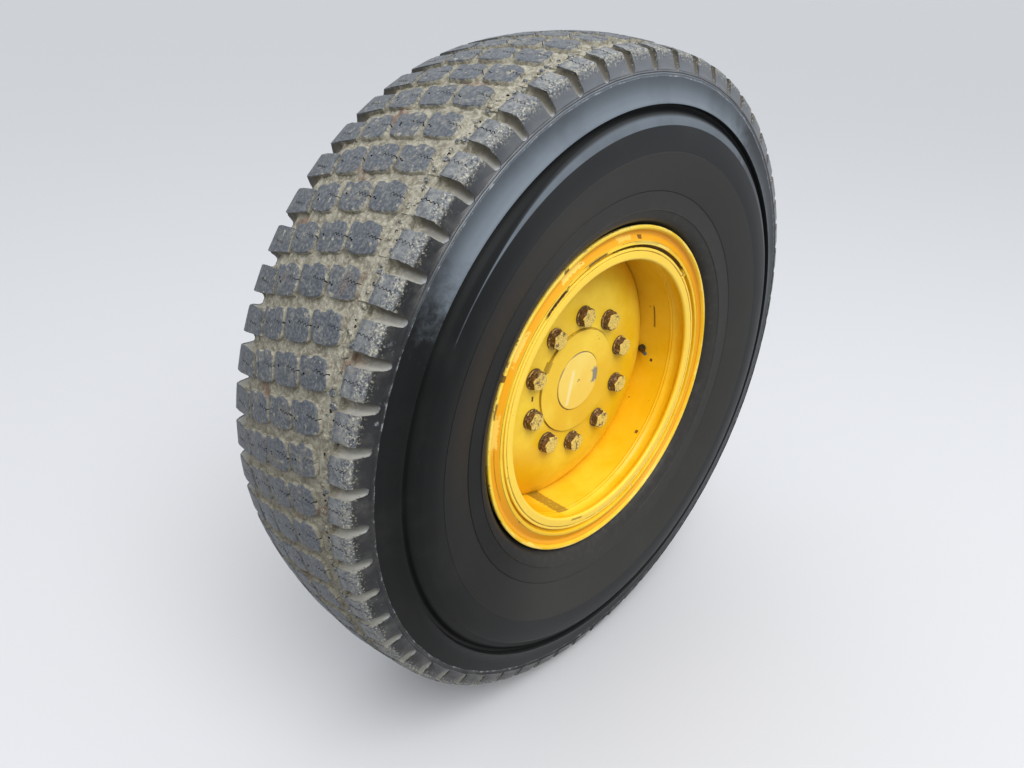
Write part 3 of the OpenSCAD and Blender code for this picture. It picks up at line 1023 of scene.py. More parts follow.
@dataclass
class Tyre:
    """Lugged tyre: casing, shoulder lugs on both sides, three rows of blocks and mud."""

    middle: float
    steps: int = 264
    mud_steps: int = 960
    mud_rows: int = 84
    tread_r: float = 659.0
    tread_half: float = 158.0
    crown_drop: float = 19.0
    pitches: int = 60
    kinds: int = 4
    notch_end: Spot = (606.0, 170.5)
    edge_radius: float = 640.0
    step_inner: float = 99.5
    step_outer: float = 121.5
    step_depth: float = 6.0
    inner_edge: float = 92.3
    inner_flare: float = 4.5
    inner_sway: float = 5.0
    row_gap: float = 62.0
    slant: float = -0.0218
    block_angle: float = 0.95
    trough_angle: float = 0.65
    trough_r: float = 11.8
    trough_deep: float = 4.2
    trough_tip: float = 8.8
    floor_depth: float = 17.0
    mud_depth: float = 8.4
    mud_sunk: float = 9.0
    mud_reach: float = 12.0
    mud_waves: tuple[Spot, ...] = ((0.045, 2.0), (0.15, 1.6))
    mud_clods: Spot = (0.09, 4.0)
    lug_start: float = -12.0
    lug_edge: float = 1.8
    edge_turn: float = 0.45
    edge_reach: float = 0.8
    lug_wear: tuple[Spot, ...] = ((0.07, 0.8), (0.3, 0.5))
    lug_fray: Spot = (0.16, 0.9)
    block_wear: Spot = (0.06, 0.5)
    block_fray: float = 0.8
    block_corner: float = 1.6
    block_edge: float = 1.5
    block_deep: float = 16.0
    block_splay: float = 1.09
    slit_swing: float = 2.0
    slit_fray: float = 0.9
    slit_floor: float = 636.0
    pit_floor: float = 640.0
    clear_r: float = 670.0
    sharp: float = 36.0
    seed: int = 24

    def crown(self, along: float) -> float:
        """Radius of the tread at a distance from the middle plane."""
        return self.tread_r - self.crown_drop * (along / self.tread_half) ** 2

    def floor(self, along: float) -> float:
        """Radius of the floor between the lugs."""
        return self.crown(along) - self.floor_depth

    def sunk(self, radius: float, along: float) -> float:
        """Depth of a point below the tread or the face of the shoulder.

        Args:
            radius: Distance of the point from the axle.
            along: Its place along the axle from the middle plane.

        Returns:
            The depth in millimetres.
        """
        along = abs(along)
        top = self.crown(along) - radius
        end_r, end_w = self.notch_end
        run = Vector((self.edge_radius - end_r, end_w - self.tread_half)).normalized()
        face = -((radius - self.edge_radius) * run.y + (along - self.tread_half) * run.x)
        return min(top, face)

    def pitch_length(self) -> float:
        """Length of one pitch along the middle of the tread."""
        return FULL_TURN * self.tread_r / self.pitches

    def side(self) -> list[Corner]:
        """Outline of one sidewall from the bead's toe to the floor of the tread."""
        return [
            (302.3, 77, 0), (306.3, 122.7, 2), (310.3, 126.7, 2), (329, 126.7, 3), (340, 131.7, 2),
            (349, 142.7, 0), (350.8, 149.0, 0), (354.8, 154.4, 0), (361, 158.6, 0), (367.5, 161.2, 0),
            (372.6, 162.9, 0.3), (374.1, 165.0, 0.4), (375.6, 163.6, 0.3), (384, 164.7, 0), (395, 166.0, 0),
            (406.6, 167.7, 0.3), (408.3, 166.5, 0.4), (410.0, 168.5, 0.3), (418, 171.5, 0), (428, 175.0, 0),
            (438, 178.3, 0), (448, 181.4, 0), (458, 184.3, 0), (468, 186.9, 0), (478.9, 189.3, 0.15),
            (479.7, 188.7, 0.15), (488, 190.4, 0), (497, 191.3, 0), (505, 191.5, 0), (514, 191.0, 0),
            (523.8, 189.7, 0.9), (531, 187.2, 0), (538, 183.8, 2), (543.4, 178.6, 3), (547.4, 172.4, 3),
            (551, 170.2, 2), (555.8, 171.2, 1.2), (557.4, 181.6, 0.5), (560, 180.7, 0.8), (565, 176.9, 3),
            (572, 173.9, 4), (580, 172.4, 3), (590, 171.6, 3), (600.5, 170.9, 1), (604, 163, 2),
            (612, 152, 3), (624, 139, 4), (self.floor(118), 118, 4), (self.floor(60), 60, 0),
        ]

    def inside(self) -> list[Corner]:
        """Outline of the air side from the middle plane down to one bead."""
        return [
            (620, 60, 0), (612, 110, 8), (585, 138, 10), (545, 149, 6), (470, 170, 8),
            (390, 158, 6), (340, 110, 4), (309, 79, 2),
        ]

    def casing(self) -> Piece:
        """The closed casing under the lugs.

        Returns:
            The casing.
        """
        up = self.side()
        corners = up + [(self.floor(0), 0, 0)]
        corners += [(r, -w, e) for r, w, e in reversed(up)]
        corners += [(r, -w, e) for r, w, e in reversed(self.inside())]
        corners += [(622, 0, 0)] + self.inside()
        return spun("tyre_casing", corners, self.middle, self.steps)

    def mud_bed(self) -> Piece:
        """Lumpy dry mud on the floor of the grooves.

        Returns:
            The mud, which knows how deep it lies.
        """
        bm = bmesh.new()
        rows, edge = self.mud_rows, self.step_outer - 2
        places = [edge * (2 * i / rows - 1) for i in range(rows + 1)]
        top = [(self.crown(w) - self.mud_depth, w, 0.0) for w in places]
        base = [(self.crown(w) - 16, w, 0.0) for w in (edge, 60, 0, -60, -edge)]
        outline(bm, top + base)
        turned(bm, self.mud_steps)
        layer = bm.verts.layers.float.new("sunk")
        for vert in bm.verts:
            vert[layer] = self.mud_sunk
            radius = math.hypot(vert.co.x, vert.co.z)
            if self.sunk(radius, vert.co.y) > self.mud_reach:
                continue
            lump = waves(vert.co, Vector(), *self.mud_waves)
            lump += max(0.0, waves(vert.co, Vector((40, 0, 0)), self.mud_clods))
            grown = (radius + lump) / radius
            vert.co.x *= grown
            vert.co.z *= grown
        return finished(bm, "groove_mud", 60.0, self.middle)

    def slit(
        self, draw: random.Random, at: float, first: float, stroke: float = 3.4, count: int = 8
    ) -> list[Spot]:
        """Outline of a zigzag slit, seen from outside the tyre.

        Args:
            draw: Where its unevenness comes from.
            at: How far up the tyre it lies.
            first: Where across the tread it starts.
            stroke: Length of each stroke across the tread.
            count: Number of strokes.

        Returns:
            Its corners in order.
        """
        swing, fray = self.slit_swing, self.slit_fray
        zig = [
            (at + (swing if i % 2 else -swing) + draw.uniform(-fray, fray), first + stroke * i)
            for i in range(count + 1)
        ]
        wide = draw.uniform(1.3, 2.0)
        return zig + [(x + wide, y) for x, y in reversed(zig)]

    def pit(self, draw: random.Random, x: float, y: float, size: float) -> list[Spot]:
        """Outline of a small ragged hole."""
        corners = 7
        return [
            (x + size * draw.uniform(0.55, 1.2) * math.cos(FULL_TURN * i / corners),
             y + size * draw.uniform(0.55, 1.2) * math.sin(FULL_TURN * i / corners))
            for i in range(corners)
        ]

    def block(self, draw: random.Random) -> Piece:
        """One block of the middle rows, flat, its top at height 0 and +X up the tyre.

        Args:
            draw: Where its unevenness comes from.

        Returns:
            The block.
        """
        edge = [
            (20, 30), (22, 19), (20.5, 11.5), (22.5, 7.5), (27, 4.5), (29.7, -2), (30, -11), (28.5, -20.5),
            (24.5, -25), (17.5, -27.5), (9.5, -30), (0, -32.5), (-8.3, -33.5), (-15, -30.5), (-18.5, -22),
            (-21.5, -12), (-23.5, -2), (-24.5, 8), (-23.5, 16), (-19.5, 20.5), (-12, 23), (0, 26.5),
            (10, 29.5),
        ]
        bm = bmesh.new()
        fray = self.block_fray
        verts = [
            bm.verts.new((x + draw.uniform(-fray, fray), y + draw.uniform(-fray, fray), 0)) for x, y in edge
        ]
        for one, two in zip(verts, verts[1:] + verts[:1]):
            bm.edges.new((one, two))
        bevelled(bm, verts, self.block_corner, 2, "VERTICES")
        top = bmesh.ops.contextual_create(bm, geom=bm.edges[:])["faces"]
        low = swept(bm, top, (0, 0, -self.block_deep))
        bmesh.ops.scale(bm, vec=(self.block_splay, self.block_splay, 1), verts=low)
        rim = [e for e in bm.edges if all(abs(v.co.z) < WELD for v in e.verts)]
        bevelled(bm, rim, self.block_edge, 3)
        first = draw.uniform(-36, -31)
        made = carved(scratch(bm), scratch(prism(self.slit(draw, 8.0, first), -7, 4), CRACK))
        for _ in range(2):
            hole = self.pit(draw, draw.uniform(-8, 3), draw.uniform(10, 19), draw.uniform(1.3, 2.6))
            made = carved(made, scratch(prism(hole, -5, 4), CRACK))
        return made

    def lug(self, draw: random.Random, side: int) -> Piece:
        """One pitch of a shoulder, flat: a lug with its trough, +X up the tyre.

        Args:
            draw: Where its unevenness comes from.
            side: The outer shoulder (-1) has a low strip beside its lugs, the inner (1) none.

        Returns:
            The lug, open at both ends.
        """
        pitch = self.pitch_length()
        cuts = (self.lug_start, self.lug_start + pitch)
        low, inner, outer = self.step_depth, self.step_inner, self.step_outer
        if side > 0:
            low, inner, outer = 0.8, self.inner_edge, self.inner_edge + 1.2
        corners = [
            (self.crown(inner) - 18, inner - 0.5), (self.crown(inner) - low, inner),
            (self.crown(outer) - low + 0.3, outer), (self.crown(outer + 2), outer + 2),
            (self.crown(136), 136), (self.crown(147), 147), (self.crown(152.5) - 0.1, 152.5),
            (640.1, 155.8), (637.4, 158.4), (633.5, 160.4), (622, 164.6), (609.2, 169.3), (607.8, 171.1),
            (606.5, 170.2), (605.2, 170.7), (604.2, 171.8), (603.0, 170.9), (600.0, 171.1),
            (598, 167), (618, 130),
        ]
        bm = bmesh.new()
        swept(bm, [bm.faces.new([bm.verts.new((cuts[0], w, r)) for r, w in corners])], (pitch, 0, 0))
        made = scratch(bm)
        at, wide = pitch / 2, self.trough_r
        flare = self.inner_flare if side > 0 else 0.0
        bends = [
            (Vector((at - 7.5, 80, self.crown(80) - self.trough_deep)), wide + 1.0 + flare),
            (Vector((at - 0.5, 141.0, self.crown(141) - self.trough_deep)), wide + 0.3),
            (Vector((at + 0.9, 154.0, 634.5)), wide + 0.5 * flare),
            (Vector((at + 3.0, 166.4, 615.6)), self.trough_tip),
        ]
        for (start, size), (end, end_size) in zip(bends, bends[1:]):
            made = carved(made, scratch(capsule(start, end, size, end_size), TROUGH))
        slit = self.slit(draw, draw.uniform(-2, 3), 125 if side < 0 else 110)
        made = carved(made, scratch(prism(slit, self.slit_floor, self.clear_r), CRACK))
        for x, w in ((-18, 112), (2, 115), (16, 108)) if side < 0 else ():
            hole = self.pit(draw, x + draw.uniform(-5, 5), w + draw.uniform(-4, 4), draw.uniform(1.8, 4.2))
            made = carved(made, scratch(prism(hole, self.pit_floor, self.clear_r), CRACK))
        bm = bmesh.new()
        bm.from_mesh(made.data)
        ends = [f for f in bm.faces if any(all(abs(v.co.x - c) < 0.02 for v in f.verts) for c in cuts)]
        bmesh.ops.delete(bm, geom=ends, context="FACES")
        rims = [
            e for e in bm.edges
            if len(e.link_faces) == 2 and {f.material_index for f in e.link_faces} == {PLAIN, TROUGH}
            and e.calc_face_angle(0.0) > self.edge_turn
            and all(self.sunk(v.co.z, v.co.y) < self.edge_reach for v in e.verts)
        ]
        bevelled(bm, rims, self.lug_edge, 3, clamp=True)
        for face in bm.faces:
            face.material_index = CRACK if face.material_index == CRACK else PLAIN
        bm.to_mesh(made.data)
        bm.free()
        return made

    def stump(self) -> Piece:
        """One low stump of rubber, a unit wide, its top at height 0.

        Returns:
            The stump, a scratch object.
        """
        bm = bmesh.new()
        bmesh.ops.create_cone(bm, cap_ends=True, segments=9, radius1=0.62, radius2=0.5, depth=1.0)
        bmesh.ops.translate(bm, vec=(0, 0, -0.5), verts=bm.verts)
        bevelled(bm, [e for e in bm.edges if all(v.co.z > -0.1 for v in e.verts)], 0.1, 2)
        return scratch(bm)

    def wrapped(
        self, bm: Shape, part: Piece, angle: float, move: Callable[[Vector], Vector],
        depth: float | None = None,
    ) -> None:
        """Adds a copy of a flat part, bent round the wheel.

        Args:
            bm: Where it goes, with the layer sunk for how deep each point lies.
            part: The flat part, +X up the tyre and Z its radius.
            angle: Where its X of 0 goes, in degrees from the top.
            move: Puts a flat point in its place before it is bent.
            depth: How deep its upper points count as lying, where that isn't measured.
        """
        layer = bm.verts.layers.float["sunk"]
        for vert in added(bm, part.data):
            flat = move(vert.co)
            turn = math.radians(angle) + flat.x / self.tread_r
            vert[layer] = max(0.0, self.sunk(flat.z, flat.y))
            if depth is not None and vert[layer] < self.mud_depth - 1:
                vert[layer] = depth
            vert.co = Vector((flat.z * math.sin(turn), flat.y, flat.z * math.cos(turn)))

    def shoulder(self, side: int) -> Piece:
        """All lugs of one shoulder.

        Args:
            side: -1 for the outer shoulder, 1 for the inner one.

        Returns:
            The lugs.
        """
        bm = layered()
        draw = random.Random(self.seed + side)
        parts = [self.lug(draw, side) for _ in range(self.kinds)]
        pitch = self.pitch_length()
        half = 180.0 / self.pitches
        for i in range(self.pitches):
            angle = self.trough_angle - half + i * 2 * half
            if side > 0:
                angle = 2 * self.block_angle - angle
            phase = Vector((draw.uniform(0, 90), 0, 0))

            def move(co: Vector) -> Vector:
                """Turns the lug to its side and wears its faces unevenly.

                Args:
                    co: A point of the flat part.

                Returns:
                    Its place before it is bent.
                """
                end = min(1.0, min(abs(co.x - self.lug_start), abs(co.x - self.lug_start - pitch)) / 6)
                wear = waves(co, phase, *self.lug_wear)
                fray = waves(co, phase * 2, self.lug_fray)
                lean = max(0.0, min(1.0, (136 - co.y) / 36)) if side > 0 else 0.0
                across = co.y - lean * self.inner_sway * math.sin(FULL_TURN * co.x / pitch)
                lift = self.crown(across) - self.crown(co.y)
                return Vector((-side * (co.x + fray * end), side * across, co.z + wear * end + lift))

            self.wrapped(bm, draw.choice(parts), angle, move)
        for part in parts:
            bpy.data.objects.remove(part)
        bmesh.ops.remove_doubles(bm, verts=bm.verts, dist=0.05)
        name = "outer_shoulder_lugs" if side < 0 else "inner_shoulder_lugs"
        return finished(bm, name, self.sharp, self.middle)

    def blocks(self, row: int) -> Piece:
        """All blocks of one middle row.

        Args:
            row: -1 outboard, 0 middle or 1 inboard.

        Returns:
            The blocks.
        """
        bm = layered()
        draw = random.Random(self.seed * 7 + row)
        parts = [self.block(draw) for _ in range(self.kinds)]
        across = self.row_gap * row
        for i in range(self.pitches):
            angle = self.block_angle + self.slant * across + i * 360.0 / self.pitches
            twist = Matrix.Rotation(math.radians(draw.uniform(-1.5, 1.5)), 3, "Z")
            size = draw.uniform(0.97, 1.0)
            lift = draw.uniform(-1.2, 0.0)
            phase = Vector((draw.uniform(0, 90), 0, 0))

            def move(co: Vector) -> Vector:
                """Turns a block a little, wears it and lays it on the crown.

                Args:
                    co: A point of the flat part.

                Returns:
                    Its place before it is bent.
                """
                flat = twist @ co
                fray = noise.noise_vector(co * 0.13 + phase)
                wear = waves(co, phase, self.block_wear)
                along = across + flat.y * size + fray.y
                return Vector((flat.x * size + fray.x, along, self.crown(along) + flat.z + lift + wear))

            self.wrapped(bm, draw.choice(parts), angle, move)
        for part in parts:
            bpy.data.objects.remove(part)
        name = ("middle_blocks", "inner_blocks", "outer_blocks")[row]
        return finished(bm, name, self.sharp, self.middle)

    def stumps(self) -> Piece:
        """Low worn stumps in the stepped strip beside the outer shoulder lugs.

        Returns:
            The stumps.
        """
        bm = layered()
        draw = random.Random(self.seed + 91)
        part = self.stump()
        for i in range(self.pitches * 4):
            x = draw.uniform(-7, 7)
            across = draw.uniform(103, 119)
            size = Vector((draw.uniform(4, 11), draw.uniform(4, 13), 9))
            top = -draw.uniform(2.0, 5.5)
            turn = Matrix.Rotation(draw.uniform(-0.9, 0.9), 3, "Z")
            phase = Vector((x, across, i))

            def move(co: Vector) -> Vector:
                """Places one stump on the strip.

                Args:
                    co: A point of the flat part.

                Returns:
                    Its place before it is bent.
                """
                flat = turn @ Vector((co.x * size.x, co.y * size.y, 0))
                flat += noise.noise_vector(co * 1.3 + phase) * 1.6
                along = across + flat.y
                return Vector((x + flat.x, -along, self.crown(along) + top + co.z * size.z))

            angle = self.trough_angle + i * 90.0 / self.pitches
            self.wrapped(bm, part, angle, move, draw.choice((0.4, 0.4, 2.6, 5.0)))
        bpy.data.objects.remove(part)
        return finished(bm, "shoulder_stumps", self.sharp, self.middle)

    def build(self) -> None:
        """Builds and dresses the tyre."""
        tread = [TreadFinish(tread_half=self.tread_half).material(), CrackFinish().material()]
        dress(self.casing(), [SidewallFinish().material()], Slot.RUBBER, Body.WHEEL, "tyre")
        for side in (-1, 1):
            dress(self.shoulder(side), tread, Slot.RUBBER, Body.WHEEL, "tyre")
        for row in (-1, 0, 1):
            dress(self.blocks(row), tread, Slot.RUBBER, Body.WHEEL, "tyre")
        dress(self.stumps(), tread[:1], Slot.RUBBER, Body.WHEEL, "tyre")
        dress(self.mud_bed(), tread[:1], Slot.RUBBER, Body.WHEEL, "tyre")


# Rim


@dataclass
class Rim:
    """Rim of three pieces: base with its gutter, side ring and split lock ring."""

    middle: float
    steps: int = 288
    well_r: float = 283.0
    lip_r: float = 275.0
    lip_out: float = 144.5
    flange_r: float = 343.0
    flange_out: float = 149.0
    bridge_angle: float = 48.0

    def curl(self, side: int) -> list[Corner]:
        """Outline of a flange's curl, tyre side first; side -1 is the outer one."""
        points = [
            (310, 127, 3), (328, 127, 4), (337.5, 132, 4), (self.flange_r, 143.5, 3),
            (self.flange_r, self.flange_out, 2.2), (336.5, self.flange_out, 2.2),
            (331.5, 141.5, 4), (327, 137.6, 4),
        ]
        return [(r, side * w, e) for r, w, e in points]

    def base(self) -> Piece:
        """The rim base with the gutter's lip, the well and the inner flange.

        Returns:
            The rim base.
        """
        lip = self.lip_out
        corners = [
            (self.lip_r, -lip, 5), (292, -lip, 0.7), (292, -134.2, 0.8), (289, -133.4, 0.5),
            (289, -121, 1), (294, -117, 1), (294, -91, 3), (301.9, -77, 2), (301.9, 77, 2),
            (306, 123, 3), *self.curl(1), (312, 135, 4), (300, 133, 4), (289, 124, 5),
            (self.well_r, 112, 8), (self.well_r, -97, 1), (281.8, -98.5, 0.7), (281.8, -100.5, 0.7),
            (283.2, -102, 0.8), (282.2, -105.5, 0.8), (283.6, -108, 1), (286.8, -113, 4),
            (287, -124, 5), (283.5, -131.5, 4), (self.lip_r, -134.5, 4),
        ]
        return spun("rim_base_fine", corners, self.middle, self.steps)

    def side_ring(self) -> Piece:
        """The loose flange with its broad end face."""
        corners = [
            (294.4, -77, 1), (301.9, -77, 1), (306, -123, 2), *self.curl(-1),
            (312.2, -146.8, 1.0), (305.3, -146.8, 1.3), (304.7, -138.8, 1), (301.6, -137.5, 0.5),
            (294.5, -130.5, 0.5),
        ]
        return spun("side_ring_fine", corners, self.middle, self.steps)

    def lock_ring(self) -> Piece:
        """The split ring and the stop that bridges the gutter outside it.

        Returns:
            The ring with its stop.
        """
        section = [
            (289.4, -133.2, 0.3), (292.1, -134.6, 0.3), (292.1, -143.2, 0.2), (294.1, -143.4, 0.2),
            (294.4, -144.4, 0.4), (299.2, -144.3, 1.2), (299.3, -135.4, 0.4), (294.6, -130.8, 0.4),
            (289.4, -125, 0.5),
        ]
        stop = [(298.4, -134, 0.3), (298.4, -145.0, 1.2), (305.6, -145.6, 1.2), (305.6, -136, 0.3)]
        at = self.bridge_angle
        split = at - 360.0 + 0.6
        parts = [
            spun_part("ring", section, self.middle, split, split + 358.8, self.steps),
            spun_part("stop", stop, self.middle, at - 2.0, at + 1.4, 6),
        ]
        return weighted(joined("lock_ring_fine", parts))

    def build(self) -> None:
        """Builds and dresses the rim."""
        marks = (
            Mark(-36, 6.0, 303.4, 5.0), Mark(-14.5, 5.0, 308.8, 2.3, 0.9),
            # The first mark here is painted shade under the flange's edge at the left
            Mark(-68.5, 8.5, 332.6, 1.0, 0.8), Mark(-75, 2.5, 338.5, 3.5, 0.8),
            Mark(-65, 1.0, 339.0, 4.5, 0.9), Mark(-28.5, 1.2, 338.0, 4.5, 0.85),
            Mark(-99, 11.0, 321.5, 0.7, 0.5), Mark(14, 8.0, 310.5, 2.6, 0.3),
            Mark(9.3, 1.1, 319.5, 3.6, 0.85), Mark(22, 24.5, 302.4, 3.2, 0.9),
            Mark(-165, 3.6, 281.0, 2.4, 0.6),
            Mark(77, 5.5, -55.0, 2.2, 0.8, False), Mark(99.4, 0.7, -57.0, 3.0, 1.0, False),
            Mark(134, 0.8, -89.0, 3.5, 0.9, False),
        )
        rubbed = (
            Mark(-83, 5.5, 322.0, 4.5, 0.6, True, 2.2), Mark(-55, 5.0, 322.5, 4.5, 0.6, True, 2.2),
            Mark(-25.5, 5.0, 322.5, 4.5, 0.65, True, 2.2), Mark(1, 3.5, 321.5, 4.5, 0.45, True, 3.0),
            Mark(19, 10.5, 309.0, 2.9, 0.75, True, 2.6),
        )
        # Dark rings: joints at 293.3 and 302.2 mm, painted shade in the crease at 312.3 mm and under the
        # flange's edge at 332.6 mm
        rings = ((293.3, 1.0, 0.75), (302.2, 2.4, 0.45), (312.3, 0.7, 0.75), (332.6, 0.6, 0.35))
        paint = EnamelFinish(
            "rim_enamel", edge_radius=339.0, marks=marks, rings=rings, rubbed=rubbed,
            shaded_orange_zone=(313.2, 333.0), pale_zone=(274.0, 299.5),
        ).material()
        dress(self.base(), [paint], Slot.RIM, Body.WHEEL, "rim_base")
        dress(self.side_ring(), [paint], Slot.RIM, Body.WHEEL, "side_ring")
        dress(self.lock_ring(), [paint], Slot.RIM, Body.WHEEL, "lock_ring")


@dataclass
class Disc:
    """Dished disc welded into the rim base."""

    middle: float
    bore: float = 113.3
    face: float = 59.0
    thick: float = 16.0
    flat_r: float = 165.0
    bend_r: float = 173.6
    edge_r: float = 282.7
    bend_end: float = 8.0

    def bend(self, depth: float, steps: int = 18) -> list[Corner]:
        """Points of the dish, at a depth in it, from its flat middle out to the rim base.

        Args:
            depth: How far below the outer face.
            steps: Number of straight stretches.

        Returns:
            The points in order.
        """
        radius = self.bend_r - depth
        last = math.asin((self.edge_r - self.bend_end - self.flat_r) / self.bend_r)
        centre = -self.face + self.bend_r
        turns = [last * i / steps for i in range(steps + 1)]
        return [(self.flat_r + radius * math.sin(t), centre - radius * math.cos(t), 0.0) for t in turns]

    def build(self) -> None:
        """Builds and dresses the disc."""
        corners = [
            (self.bore, -self.face, 0.6), *self.bend(0), (self.edge_r - 1.6, -14.6, 0.8),
            (self.edge_r, -12.6, 0.3), (self.edge_r, -3.0, 0.3), (277.0, -3.5, 2),
            *reversed(self.bend(self.thick)), (self.bore, -self.face + self.thick, 0.6),
        ]
        made = spun("wheel_disc", corners, self.middle)
        marks = (
            Mark(-88, 2.2, 135.0, 2.6), Mark(-57, 5.0, 117.0, 3.6, 0.6), Mark(-32, 22, 114.6, 0.8, 0.6),
            Mark(30, 34, 114.7, 0.9, 0.55),
        )
        # Dark rings: rust round the bore, and where the disc meets the well a weld line with painted shade
        rings = ((self.bore + 0.6, 0.7, 0.7), (self.edge_r - 0.7, 1.0, 0.8))
        paint = EnamelFinish("disc_enamel", faded_and_lit=(0.97, 0.69, 0.05), chip_share=0.74, marks=marks,
                             rings=rings).material()
        dress(made, [paint], Slot.RIM, Body.WHEEL, "rim_disc")


# Hub


@dataclass
class Spindle:
    """Spindle with its pilot, cap, flange, journals and splines, and the wheel bolts."""

    middle: float
    bolts: int = 10
    bolt_circle: float = 142.9
    bolt_phase: float = 2.5
    seat: float = 59.3
    machined_from: float = -217.7
    across_flats: float = 36.0
    head: float = 15.0
    shank_r: float = 12.0
    shank_length: float = 45.0
    shank_middle: float = 18.0
    hole_r: float = 12.5
    washer_r: float = 22.0
    washer_t: float = 4.0
    splines: int = 24
    spline_r: float = 48.0
    spline_deep: float = 4.0
    spline_from: float = 20.8
    spline_length: float = 75.5
    seed: int = 5

    def body(self) -> Piece:
        """The turned body, as seen at the pilot, the flange and the driven end.

        Returns:
            The spindle.
        """
        m = self.middle
        corners = [(r, y - m, e) for r, y, e in (
            (0, m - 55, 0), (63.6, m - 55, 0), (63.6, m - 62.0, 0.3), (65.0, m - 63.0, 0.4),
            (113, m - 63.0, 1.2), (113, m - 42.7, 0.3), (163, m - 42.7, 1.5), (163, m - 15.7, 3),
            (106, m - 15.7, 3), (84, m - 11.7, 2), (84, -217.6, 0.5), (70, -217.4, 0.5),
            (70, -167, 1), (60.5, -66, 2), (60.5, -52.4, 0.5), (57.5, -52, 0.5), (57.5, 16.3, 1),
            (44, 19.3, 1), (44, 96.3, 1), (36, 98.3, 1), (36, 110.2, 1.8), (0, 110.2, 0),
        )]
        shaft = spun("shaft", corners, m, 192, closed=False)
        bm = bmesh.new()
        foot = self.spline_r - self.spline_deep
        steps = ((0.0, self.spline_r), (0.42, self.spline_r), (0.54, foot), (0.88, foot))
        ring = []
        for i in range(self.splines):
            for part, radius in steps:
                a = FULL_TURN * (i + part) / self.splines
                ring.append(bm.verts.new((radius * math.sin(a), self.spline_from, radius * math.cos(a))))
        swept(bm, [bm.faces.new(ring)], (0, self.spline_length, 0))
        made = joined("spindle_fine", [shaft, finished(bm, "splines")])
        for face in made.data.polygons:
            face.material_index = int(face.center.y > self.machined_from * MM)
        return weighted(made)

    def cap(self) -> Piece:
        """The round cap with its centre dimple."""
        corners = [(0, -62.3, 0), (3.6, -62.3, 0.3), (4.3, -65.0, 0.5), (63.2, -65.0, 1.8),
                   (63.2, -56, 0.3), (0, -56, 0)]
        return spun("spindle_cap_fine", corners, self.middle, 160, closed=False)

    def around(self, name: str, part: Piece, loose: bool) -> Piece:
        """Copies a part to every bolt hole.

        Args:
            name: Name of the piece.
            part: One part about the axle, which is dropped.
            loose: Whether each copy sits at its own angle.

        Returns:
            The joined copies.
        """
        draw = random.Random(self.seed)
        bm = bmesh.new()
        for i in range(self.bolts):
            copied = added(bm, part.data)
            rotated(bm, copied, math.radians(draw.uniform(0, 60) if loose else 0.0))
            bmesh.ops.translate(bm, vec=(0, self.middle - self.seat, self.bolt_circle), verts=copied)
            rotated(bm, copied, math.radians(self.bolt_phase + i * 360 / self.bolts))
        bpy.data.objects.remove(part)
        return weighted(finished(bm, name, 28.0))

    def rod(self, sides: int, radius: float, length: float, middle: float) -> Shape:
        """A bar along the axle, with its middle at a place along it.

        Args:
            sides: Number of its sides.
            radius: Radius of its corners.
            length: Its length.
            middle: Place of its middle.

        Returns:
            The bar.
        """
        bm = bmesh.new()
        bmesh.ops.create_cone(
            bm, cap_ends=True, segments=sides, radius1=radius, radius2=radius, depth=length
        )
        rotated(bm, bm.verts, math.radians(90), "X")
        bmesh.ops.translate(bm, vec=(0, middle, 0), verts=bm.verts)
        return bm

    def bolt(self) -> Piece:
        """One bolt with its chamfered hexagon, its washer face at Y of 0.

        Returns:
            The bolt, a scratch object.
        """
        top = self.washer_t + self.head
        bm = self.rod(6, self.across_flats / math.sqrt(3), self.head, -self.washer_t - self.head / 2)
        bevelled(bm, [e for e in bm.edges if abs(e.verts[0].co.y - e.verts[1].co.y) > 1], 0.8, 2)
        cone = bmesh.new()
        outer = self.across_flats / 2
        outline(cone, [(0, -top, 0), (outer - 1.2, -top, 0.8), (outer + 4.5, -top + 3.1, 0.5),
                       (outer + 4.5, 2, 0), (0, 2, 0)], closed=False)
        swung(cone, cone.verts[:] + cone.edges[:], FULL_TURN, 48)
        bmesh.ops.remove_doubles(cone, verts=cone.verts, dist=WELD)
        bmesh.ops.recalc_face_normals(cone, faces=cone.faces)
        head = carved(scratch(bm), scratch(cone), "INTERSECT")
        shank = self.rod(32, self.shank_r, self.shank_length, self.shank_middle)
        shank.from_mesh(head.data)
        bpy.data.objects.remove(head)
        return scratch(shank)

    def washer(self) -> Piece:
        """One thick washer.

        Returns:
            The washer, a scratch object.
        """
        bm = bmesh.new()
        outline(bm, [(self.hole_r, 0, 0.4), (self.washer_r, 0, 0.8),
                     (self.washer_r, -self.washer_t, 1.2), (self.hole_r, -self.washer_t, 0.5)])
        swung(bm, bm.verts[:] + bm.edges[:], FULL_TURN, 56)
        return scratch(bm)

